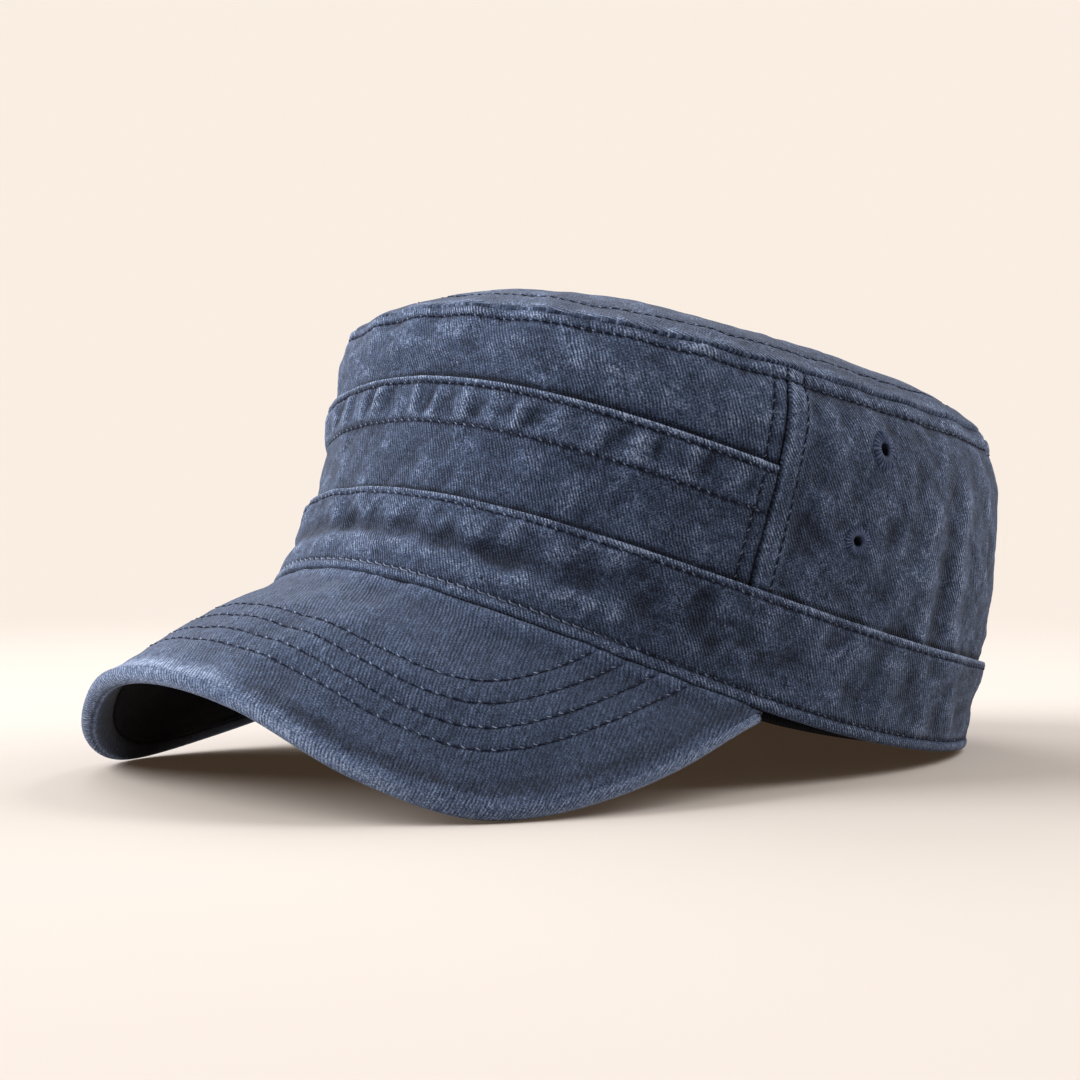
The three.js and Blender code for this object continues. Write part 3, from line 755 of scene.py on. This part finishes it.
def painted_light_on_peak(angles, edge, from_hem):
    """Painted highlight and painted shade along the rim, from its edge over the top and round its roll."""
    near = ease(angles, 12, 26)
    lit = (0.04 + 0.08 * ease(angles, -40, -5)) * (1 - near)
    middle = near * (1 - ease(angles, 40, 53))
    dim = (0.19 - 0.05 * ease(angles, 42, 54)) * near
    over = (0.05 * bell(from_hem, 0, 22) - 0.07 * ease(angles, 25, 60)
            + (lit * bell(edge, 0, 6) + 0.1 * middle * bell(edge, 0, 1.2) - dim * bell(edge, 3.6, 2.4)))
    roll = (0.04 + 0.05 * ease(angles, -40, -5) + 0.14 * middle * bell(TURNS, math.radians(50), 0.6)
            + 0.12 * ease(angles, 48, 66) * ease(TURNS, 0.9, 1.7) - 0.28 * TURNED_EDGE)
    return over, roll


def unrolled(seen, points):
    """Lays rows of points out flat from their start, along their own way over the plan."""
    step = np.diff(seen, axis=1)
    longer = norm(np.diff(points, axis=1)) / np.maximum(norm(step), 1e-6)
    run = np.cumsum(step * longer[..., None], 1)
    return seen[:, :1] + joined([np.zeros_like(run[:, :1]), run], 1)


def make_peak():
    angles = np.linspace(-90, 90, 401)[:, None]
    length = peak_length(angles)
    longest = float(length.max())
    inwards = lambda mm: np.minimum(mm, np.maximum(length - (longest - mm) * 0.004, 0))
    reach_at = lambda inward: 1 - inward / np.maximum(length, 1e-6)
    reach = reach_at(inwards(joined([np.arange(0, 40, 0.6), np.linspace(40, longest, 24)])))
    edge = from_rim(peak_base(angles, reach))
    face = peak_out(angles, reach, edge)
    top = peak_point(angles, reach, face)[:, ::-1]
    up, out = (RIM_RADIUS * (1 - 0.17 * TURNED_EDGE) * part * peak_thickness(angles)
               for part in (np.cos(TURNS), np.sin(TURNS)))
    at_rim = np.ones_like(angles)
    normal, outward = peak_frame(angles, at_rim)
    rim = peak_base(angles, at_rim) + (normal * up[..., None] + outward * out[..., None])
    # in from the rim, height over the board's middle, tone (painted shade, darkening the turned-under strip
    # and the underside)
    below = [(0, -RIM_RADIUS, -0.02), (1.2, -RIM_RADIUS, -0.16), (3.4, -RIM_RADIUS + 0.05, -0.3),
             (RIM_TURN - 0.4, -RIM_RADIUS + 0.1, -0.38), (RIM_TURN, -RIM_RADIUS + 0.4, -0.4),
             (RIM_TURN + 0.2, -1.3, -0.4), (RIM_TURN + 1, -0.95, -0.4)]
    inset, height, shade = np.array(below + [(mm, -0.9, -0.4) for mm in (12, 22, 32, 44, longest)]).T
    under_in = inwards(inset)
    grid = joined([top, rim, peak_point(angles, reach_at(under_in), height)], 1)
    columns, count = grid.shape[:2]
    rows, rolled = top.shape[1], top.shape[1] + len(TURNS)
    front = 0.9 - 0.45 * ease(angles, 0, 25) + 0.35 * ease(angles, 45, 65)
    rubbed = 0.9 * bell(edge, 1, 3.5) + 0.35 * bell(edge, 0, 14) * (1 - ease(angles, -10, 25))
    # Painted shadow along the rows of stitches.
    stitched = lines(edge, [(line, 0.4, -0.3) for line in PEAK_STITCHES])
    wear, tone = np.zeros((2, columns, count))
    rubbed = rubbed * front * (1 - 0.6 * ease(angles, 52, 66))
    wear[:, :rows] = (rubbed_and_shaded(face, False, 0.9) + (rubbed + stitched))[:, ::-1]
    wear[:, rows:rolled] = 0.95 * np.sin(TURNS / 2 + 0.6) * front
    # Painted highlight and painted shade on the top and the roll of the rim.
    over, tone[:, rows:rolled] = painted_light_on_peak(angles, edge, length * reach)
    tone[:, :rows] = over[:, ::-1]
    tone[:, rolled:] = shade
    flat = unrolled(top[..., :2] * [1, -1], top)
    beside = blurred(np.gradient(flat[:, -1], axis=0), (6, 0), False)
    ahead = unit(np.stack([beside[:, 1], -beside[:, 0]], -1))
    ahead = (ahead * np.sign((ahead * (flat[:, -1] - flat[:, -4])).sum(-1, keepdims=True)))[:, None]
    run = joined([np.tile(RIM_RADIUS * TURNS, (columns, 1)), under_in + RIM_RADIUS * np.pi], 1)
    weave = joined([flat, flat[:, -1:] + ahead * run[..., None]], 1), PEAK_GRAIN
    return make_mesh("peak_cloth", grid, grid_faces(columns, count, False, turned=True), weave,
                     wear=wear, tone=tone)


def stitch_row(line):
    """The run of a row of stitches over the peak: places and normals of the top face."""
    angles = np.linspace(-89, 89, 801)
    reaches = np.linspace(0, 1, 61)
    far = from_rim(peak_base(angles[:, None], reaches))
    kept = far[:, 0] > line + 0.4
    angles, far = angles[kept], far[kept]
    reach = np.array([np.interp(-line, -row, reaches) for row in far])
    height = peak_out(angles, reach, np.full_like(reach, line))
    return peak_point(angles, reach, height), peak_frame(angles, reach)[0]


def make_peak_underside():
    angles = np.linspace(-82.5, 82.5, 241)[:, None]
    length = peak_length(angles)
    top = -BOARD / 2 + 0.4 - GAP
    inwards = np.linspace(0, 1, 30)
    first = np.maximum(1 - (RIM_TURN + GAP) / length, 0.7)
    reach = first + (0.04 - first) * inwards
    puff = 0.12 * ripple(angles, length * (1 - reach), 18, 95) * ease(inwards, 0, 0.1)
    lower, upper = (peak_point(angles, reach, height) for height in (top - 1.0 - puff, top))
    grid = joined([lower, upper[:, ::-6]], 1)
    return make_mesh("peak_underside_cloth", grid, grid_faces(*grid.shape[:2], False, turned=True),
                     (grid[..., :2], PEAK_GRAIN), wear=np.zeros(grid.shape[:2]))


def make_sweatband():
    cloths = np.linspace(0.8, SWEATBAND_HEIGHT, 44)
    angles = (np.arange(360) - 180)[:, None]
    out = profile(SWEATBAND_ROWS, cloths)
    stitched = groove(cloths, 3, 0.5, -0.25) + groove(cloths, SWEATBAND_HEIGHT - 2.2, 0.5, -0.25)
    face = out - SWEATBAND - 0.08 * ripple(angles, cloths, 14, 97) + stitched
    section = joined([cloths, cloths[::-4]])
    stand = joined([face, np.tile(out[::-4], (len(angles), 1))], 1)
    hangs = (1.5 + 1.7 * bell(abs(angles), 76, 12)) * (1 - ease(abs(angles), 88, 112))
    wear = np.zeros_like(stand)
    wear[:, :len(cloths)] = -rubbed_and_shaded(face, True)
    grid = wall(angles, section - hangs * (1 - ease(section, 0.8, 12)), stand)
    return make_mesh("sweatband_cloth", grid, grid_faces(*stand.shape, True, turned=True),
                     (on_cloth(angles, section), (64, 0.8), True), wear=wear)


# ---------------- eyelets

EYELETS = (("upper", 87, 74.5), ("lower", 83.5, 51.5))      # angle, cloth
EYELET_OUTER, EYELET_HOLE, EYELET_NECK = 4.4, 1.4, 2.1
THREADS, THREAD_STEPS = 24, 8


def make_eyelet(name, side, at, height):
    """A ring of thread worked over the cloth round a hole, each thread a small ridge."""
    rng = np.random.default_rng(int(at) + side)
    steps = THREADS * THREAD_STEPS
    turn = np.arange(steps)[:, None] * 2 * np.pi / steps
    which = np.arange(steps)[:, None] // THREAD_STEPS
    longer = rng.uniform(-0.35, 0.35, THREADS)[which]
    ridge = abs(np.sin(turn * THREADS / 2)) ** 0.6
    # radius, height, how far each thread shows
    ring, rise, shows = np.array([
        (EYELET_HOLE, -FABRIC, 0), (EYELET_HOLE - 0.1, -0.4, 0.3), (EYELET_HOLE, 0.3, 1),
        (EYELET_HOLE + 0.35, 0.6, 1), (EYELET_HOLE + 0.9, 0.75, 1), (EYELET_HOLE + 1.5, 0.65, 1),
        (EYELET_OUTER - 0.8, 0.5, 1), (EYELET_OUTER - 0.3, 0.35, 1), (EYELET_OUTER, 0.1, 0.4),
        (EYELET_OUTER - 0.2, -0.15, 0), (EYELET_NECK, -0.15, 0), (EYELET_NECK, -FABRIC, 0)]).T
    speed = norm(wall_base(side * at + 0.5, height) - wall_base(side * at - 0.5, height))
    radius = ring + (longer - 0.25) * (ring / EYELET_OUTER) ** 3
    lift = rise - 0.4 * (1 - ridge) * shows
    angle = side * at + radius * np.cos(turn) / speed
    cloth = height + radius * np.sin(turn)
    ground = side_out(side * abs(angle), cloth)
    level = side_out(np.array([[side * at]]), np.array([[height]]))
    grid = wall(angle, cloth, lift + np.where(lift > -0.3, np.maximum(ground, level - 0.2), level))
    outer = ease(radius, 2.2, EYELET_OUTER - 0.4)
    # Painted shade between the threads and down the hole; each thread's outer end also darkens by a random
    # amount of its own.
    wear = 1.0 - 1.7 * (1 - ridge) * (0.3 + 0.7 * outer) - 0.5 * outer * rng.uniform(0, 1, THREADS)[which]
    wear = wear - 2 * (lift < 0.25) * (radius < EYELET_NECK)
    return make_mesh(name, grid, grid_faces(*wear.shape, True, turned=True), wear=wear)


def pierce(panel, side):
    """Cuts the round hole under each eyelet."""
    for _, at, height in EYELETS:
        place = np.array([side * at]), np.array([float(height)])
        bpy.ops.mesh.primitive_cylinder_add(vertices=32, radius=(EYELET_NECK + 0.1) / 1000, depth=0.012,
                                            location=placed(wall(*place, np.array([0.0])))[0])
        drill = bpy.context.object
        drill.rotation_euler = facing(Vector(lean_back(wall_normal(*place))[0]))
        cut = panel.modifiers.new("hole", "BOOLEAN")
        cut.operation, cut.solver, cut.object = "DIFFERENCE", "EXACT", drill
        bpy.context.view_layer.objects.active = panel
        bpy.ops.object.modifier_apply(modifier="hole")
        bpy.data.objects.remove(drill)


# ---------------- stitches

THREAD = 0.18                   # radius
LIFT = 0.1                      # of its middle over the cloth
COVER = 0.95                    # how much of the pitch a stitch covers
RINGS, RING_SIDES = 7, 6        # of one stitch
RING_THIN = np.array([0.8, 1, 1, 1, 1, 1, 0.8])
RING_SINK = np.array([0.1, 0.12, 0.1, 0.1, 0.08, 0.04, -0.06])
RING_PALE = np.repeat([2.3, 1.5, 0.0, -0.3, -0.3, -0.2, 0.2], RING_SIDES)


def stitch_run(points, normals, pitch, share, rng):
    """Small tapered lengths of thread end to end along a line over the cloth."""
    run = joined([[0], np.cumsum(norm(np.diff(points, axis=0)))])
    count = int(run[-1] / pitch)
    centres = (np.arange(count) + 0.5) * (run[-1] / count)
    along = np.linspace(-0.5, 0.5, RINGS)
    around = np.arange(RING_SIDES) * np.pi / 3
    on_line = lambda table, here: np.stack([np.interp(here, run, table[:, k]) for k in range(3)], -1)
    rings, wear = [], []
    for centre in centres:
        here = np.clip(centre + along * (share * pitch) * rng.uniform(0.9, 1.05), 0, run[-1])
        spine, up = on_line(points, here), unit(on_line(normals, here))
        across = np.cross(unit(np.gradient(spine, axis=0)), up)
        spine = spine + up * (RING_SINK + 0.02 * rng.standard_normal())[:, None]
        spine = spine + across * (0.05 * rng.standard_normal() + 0.42 * (along * 2) ** 5)[:, None]
        ring = spine[:, None] + THREAD * RING_THIN[:, None, None] * (
            np.cos(around)[:, None] * across[:, None] + 0.8 * np.sin(around)[:, None] * up[:, None])
        rings.append(ring.reshape(-1, 3))
        wear.append(RING_PALE * rng.uniform(0.3, 1.2) + rng.uniform(-0.3, 0.3))
    return joined(rings), joined(wear)


def stitching(name, rows, seed, tone=lambda points: 0):
    """One piece from several rows of stitches."""
    rng = np.random.default_rng(seed)
    points, wear = (joined(part) for part in zip(*(stitch_run(*row, rng) for row in rows)))
    size = RINGS * RING_SIDES
    one = [f[::-1] if len(f) > 4 else f for f in grid_faces(RINGS, RING_SIDES, False)]      # caps face out
    faces = [[k + start for k in face] for start in range(0, len(points), size) for face in one]
    return make_mesh(name, points, faces, wear=wear + tone(points))


def wall_line(angles, cloth, outer):
    angles, cloth = both(angles, cloth)
    return wall(angles, cloth, outer(angles, cloth) + LIFT), wall_normal(angles, cloth), PITCH, COVER


def make_stitching():
    whole = np.linspace(-180, 180, 1441)
    lap_end = seam_angle(np.array([float(LAP_STITCH)]))[0] - 0.5
    front = np.linspace(-lap_end, lap_end, 721)
    band = [wall_line(whole, line, band_out) for line in (HEM_STITCH, FOLD_STITCH)]
    lap = [wall_line(front, line, lower_out) for line in (LAP_STITCH, LAP_FOOT_STITCH)]
    half = seam_angle(np.array([CROWN_STITCH]))[0]
    crown = [wall_line(np.linspace(-half, half, 721), CROWN_STITCH, upper_out)]
    up = np.linspace(BAND_HEIGHT + 1, CROWN_SEAM - 1, 121)
    panels = ((BAND_HEIGHT + 0.5, LAP_TOP - 0.8, lower_out), (LAP_TOP + 0.5, CROWN_SEAM - 4.5, upper_out))
    seams = []
    for _, side in SIDES:
        behind, ahead = (side * (seam_angle(up) + mm / DEGREE) for mm in (SEAM_STITCH, -FRONT_STITCH))
        seams.append(wall_line(behind, up, side_out))
        for low, high, outer in panels:
            part = (up > low) & (up < high)
            seams.append(wall_line(ahead[part], up[part], outer))
        seams.append(wall_line(side * (180 - BACK_STITCH / DEGREE), up, side_out))
        crown.append(wall_line(side * np.linspace(half + 0.3, 179.8, 601), CROWN_STITCH, side_out))
    inset = 1 - TOP_STITCH / CROWN_REACH
    crown.append((crown_point(whole, inset, crown_out(whole, inset) + LIFT), crown_normal(whole, inset),
                  PITCH, COVER))
    peak = [(points + normal * 0.08, normal, PEAK_PITCH, 0.96)
            for points, normal in map(stitch_row, PEAK_STITCHES)]
    rubbed = lambda points: 1.4 * ease(-points[:, 1], 55, 85) * (points[:, 2] < 15)
    return [stitching("band_stitching", band, 101, rubbed), stitching("front_stitching", lap, 102),
            stitching("seam_stitching", seams, 103), stitching("crown_stitching", crown, 104),
            stitching("peak_stitching", peak, 105)]


# ---------------- materials

class Signal:
    """An output of a node, which adds and multiplies as a number does."""

    def __init__(self, socket):
        self.socket = socket

    def math(self, operation, other=0.0):
        return make(self.socket.id_data, "Math", self, other, operation=operation)

    def __add__(self, other):
        return self.math("ADD", other)

    def __mul__(self, other):
        return self.math("MULTIPLY", other)

    def clamped(self, low, high=None):
        above = self.math("MAXIMUM", low)
        return above if high is None else above.math("MINIMUM", high)


def put(socket, value):
    if isinstance(value, Signal):
        socket.id_data.links.new(value.socket, socket)
    else:
        socket.default_value = value


def make(tree, kind, *values, out=0, **settings):
    """Adds a node and gives one of its outputs.

    values go to its inputs in order, and settings whose names have capitals to the
    inputs so named; the other settings are the node's own."""
    node = tree.nodes.new("ShaderNode" + kind)
    for socket, value in zip(node.inputs, values):
        put(socket, value)
    for name, value in settings.items():
        if name.islower():
            setattr(node, name, value)
        else:
            put(node.inputs[name.replace("_", " ")], value)
    return Signal(node.outputs[out]) if node.outputs else None


def noise(place, scale, detail=2.0, rough=0.5):
    """Noise either side of zero."""
    tree = place.socket.id_data
    return make(tree, "TexNoise", Vector=place, Scale=scale, Detail=detail, Roughness=rough, out="Fac") + -0.5


def attribute(tree, name):
    return make(tree, "Attribute", attribute_name=name, out="Fac")


def ramp(value, stops):
    colour = make(value.socket.id_data, "ValToRGB", value)
    elements = colour.socket.node.color_ramp.elements
    while len(elements) < len(stops):
        elements.new(0.5)
    for element, (place, shade) in zip(elements, stops):
        element.position, element.color = place, linear(shade)
    return colour


def linear(colour):
    """A colour given as 0 to 255 a channel, in the renderer's own light."""
    def channel(v):
        v /= 255
        return v / 12.92 if v <= 0.04045 else ((v + 0.055) / 1.055) ** 2.4
    return tuple(channel(v) for v in colour) + (1.0,)


def new_tree(name):
    material = bpy.data.materials.new(name)
    material.use_nodes = True
    material.node_tree.nodes.clear()
    return material, material.node_tree


def cloth_shader(name, sheen, specular):
    """A rough surface, still without the colour and relief that finish gives."""
    material, tree = new_tree(name)
    surface = tree.nodes.new("ShaderNodeBsdfPrincipled")
    surface.inputs["Roughness"].default_value = 0.9
    surface.inputs["Sheen Weight"].default_value = sheen
    surface.inputs["Sheen Roughness"].default_value = 0.5
    surface.inputs["Specular IOR Level"].default_value = specular
    make(tree, "OutputMaterial", Signal(surface.outputs["BSDF"]))
    return material, tree, surface


# Each colour and its place from 0, the darkest cloth, to 1, the palest
NAVY = [(0, (9, 13, 25)), (0.25, (31, 40, 59)), (0.5, (60, 75, 103)), (0.75, (101, 119, 153)),
        (1, (163, 179, 209))]
# The peak's underside and the sweatband are the cap's navy twill, coloured near black as painted shade.
SHADED_UNDERSIDE = [(0, (2, 3, 6)), (0.5, (9, 11, 17)), (1, (38, 43, 56))]
SEWING = [(0, (7, 12, 30)), (0.4, (20, 30, 56)), (1, (140, 154, 184))]
EYELET = [(0, (8, 13, 28)), (0.5, (56, 69, 99)), (1, (124, 140, 172))]


def twill(name, stops, level, fade=1.0, weave=0.12, speckle=1.75, sheen=0.08, specular=0.2):
    """Washed twill: diagonal ridges broken up by uneven yarn, rubbed pale on what stands proud."""
    material, tree, surface = cloth_shader(name, sheen, specular)
    uv = make(tree, "UVMap", uv_map="weave")
    across = make(tree, "SeparateXYZ", uv)
    along = Signal(across.socket.node.outputs[1])
    place = make(tree, "TexCoord", out="Object")
    flat = make(tree, "CombineXYZ", across, along)
    wale_at = across + noise(flat, 0.13) * 1.4
    ridge = (wale_at * (2 * math.pi)).math("SINE")
    wales = ridge * (noise(flat, 0.07) * 2.4 + 0.85).clamped(0.2)
    beads = ((along * 1.1 + wale_at.math("FLOOR") * 0.37) * (2 * math.pi)).math("SINE")
    yarn = noise(make(tree, "CombineXYZ", wale_at, along * 0.4), 1.0, 2, 0.6)
    speck = noise(flat, speckle, 2, 0.7)
    fuzz = noise(flat, 0.5, 2, 0.6)
    hair = (noise(flat, 0.4, 2, 0.6).math("ABSOLUTE") * -13 + 1.0).clamped(0.0)
    hair = hair * ((noise(flat, 0.1, 1) + 0.03) * 6).clamped(0.0, 1.0)
    patch, cloud, mottle = noise(place, 14, 3, 0.55), noise(place, 60, 3, 0.6), noise(place, 230, 2, 0.6)
    # wear: pale where rubbed; dark as painted shade in hollows, under the stitches and just above the band
    # and the lap. tone adds painted light and shade over broad patches.
    wear = attribute(tree, "wear")
    pale, dark = wear.clamped(0.0), wear.math("MINIMUM", 0.0)
    body = (patch * (0.2 * fade) + cloud * (0.12 * fade) + mottle * (0.1 * fade) + dark * 0.24 + pale * 0.17
            + attribute(tree, "tone"))
    brushed = pale * (yarn * 0.5 + speck * 0.4 + ridge * 0.08)
    fine = wales * weave + beads * 0.04 + yarn * 0.5 + speck * 1.2 + fuzz * 0.25 + hair * (0.22 * fade ** 3)
    height = wales * (4 * weave) + beads * 0.12 + yarn * 0.8 + speck
    return finish(material, surface, ramp(body + brushed + (fine + level), stops), height, 0.8, 0.00018)


def thread(name, stops):
    """Twisted sewing thread."""
    material, tree, surface = cloth_shader(name, 0.05, 0.1)
    place = make(tree, "TexCoord", out="Object")
    value = attribute(tree, "wear") * 0.3 + noise(place, 900) * 0.5
    return finish(material, surface, ramp(value + 0.4, stops), noise(place, 2600, 1), 0.5, 0.00008)


def finish(material, surface, colour, height, strength, distance):
    """Gives a surface its colour and, over that distance in metres, its fine relief."""
    bump = make(material.node_tree, "Bump", Strength=strength, Distance=distance, Height=height)
    put(surface.inputs["Base Color"], colour)
    put(surface.inputs["Normal"], bump)
    return material


# ---------------- stage and camera

BACKDROP = (250, 238, 227)
FLOOR_GLOW = (58, 46, 35)            # painted light: a warm glow the floor gives off near the cap to lift its shadows
ROOM = 0.17                     # light from the room all round, beside the paper's 1
# name, azimuth, elevation, distance, size, power
LAMPS = (("key", -40, 32, 2.6, 2.1, 105), ("side", -100, 32, 2.6, 2.1, 56), ("rear", 160, 42, 2.4, 2.2, 54),
         ("top", 20, 84, 2.2, 2.2, 9))


def make_stage():
    """A paper floor that turns into the background away from the cap."""
    bpy.ops.mesh.primitive_circle_add(vertices=96, radius=9.0, fill_type="TRIFAN", location=(0, 0, -0.0004))
    floor = bpy.context.object
    floor.name = "floor"
    material, tree = new_tree("paper")
    # Near the cap the lit paper also has a painted glow added, so its shadows stay light and warm.
    near = make(tree, "AddShader", make(tree, "BsdfDiffuse", Color=linear((192, 187, 183))),
                make(tree, "Emission", Color=linear(FLOOR_GLOW)))
    away = make(tree, "VectorMath", make(tree, "TexCoord", out="Object"), operation="LENGTH", out="Value")
    fade = make(tree, "MapRange", Value=away, From_Min=0.2, From_Max=0.65, interpolation_type="SMOOTHSTEP")
    far = make(tree, "Emission", Color=linear(BACKDROP))
    make(tree, "OutputMaterial", make(tree, "MixShader", fade, near, far))
    floor.data.materials.append(material)


def make_light():
    """Soft boxes in a dim room, in front of a bright paper background."""
    world = bpy.data.worlds.new("studio")
    world.use_nodes = True
    tree = world.node_tree
    tree.nodes.clear()
    room = make(tree, "Background", Color=linear((250, 233, 216)), Strength=ROOM)
    seen = make(tree, "LightPath", out="Is Camera Ray")
    paper = make(tree, "Background", Color=linear(BACKDROP))
    make(tree, "OutputWorld", make(tree, "MixShader", seen, room, paper))
    bpy.context.scene.world = world
    for name, turn, rise, away, size, power in LAMPS:
        lamp = bpy.data.lights.new(name, "AREA")
        lamp.shape, lamp.size, lamp.energy = "DISK", size, power
        lamp.color = (1.0, 0.975, 0.95)
        set_off(add_object(name, lamp), (0, 0, 0.05), turn, rise, away)


def facing(way):
    """Turns an object's own Z that way."""
    return way.to_track_quat("Z", "Y").to_euler()


def set_off(thing, target, azimuth, elevation, distance):
    """Puts a lamp or camera at that azimuth and elevation, looking at the target."""
    a, e = math.radians(azimuth), math.radians(elevation)
    back = Vector((math.sin(a) * math.cos(e), -math.cos(a) * math.cos(e), math.sin(e)))
    thing.location = Vector(target) + back * distance
    thing.rotation_euler = facing(back)


def make_camera():
    lens = bpy.data.cameras.new("camera")
    lens.sensor_width, lens.lens = 36, 86.67
    lens.clip_start, lens.clip_end = 0.05, 50
    camera = add_object("camera", lens)
    set_off(camera, (0, -0.0089, 0.0576), azimuth=48.79, elevation=2.04, distance=0.6735)
    bpy.context.scene.camera = camera


# ---------------- assembly

def dress(piece, material, nodes):
    piece.data.materials.append(material)
    if nodes:
        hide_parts(*nodes)
    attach(piece, "root")


def make_cap():
    cloth = twill("washed_twill", NAVY, 0.44)
    peak_cloth = twill("peak_twill", NAVY, 0.455, 0.55, 0.08, 2.2)
    # Near-black twill for the pieces inside the cap's shadow: painted shade.
    shaded_underside = twill("under_twill", SHADED_UNDERSIDE, 0.3, 0.5, sheen=0.02, specular=0.06)
    sewn, worked = thread("sewing_thread", SEWING), thread("eyelet_thread", EYELET)
    walls = make_walls()
    for panel, (_, side) in zip(walls[-2:], SIDES):
        pierce(panel, side)
    for piece in walls:
        dress(piece, cloth, [piece.name.removesuffix("_cloth")])
    dress(make_crown(), cloth, ["crown_top"])
    dress(make_peak(), peak_cloth, ["peak"])
    dress(make_peak_underside(), shaded_underside, ["peak_underside"])
    dress(make_sweatband(), shaded_underside, ["sweatband"])
    for name, side in SIDES:
        for which, at, height in EYELETS:
            node = f"eyelet_{name}_{which}"
            dress(make_eyelet(node + "_ring", side, at, height), worked, [node])
    for piece in make_stitching():
        dress(piece, sewn, [])


make_camera()
make_light()
make_stage()
make_cap()
bpy.context.scene.view_settings.view_transform = "Standard"
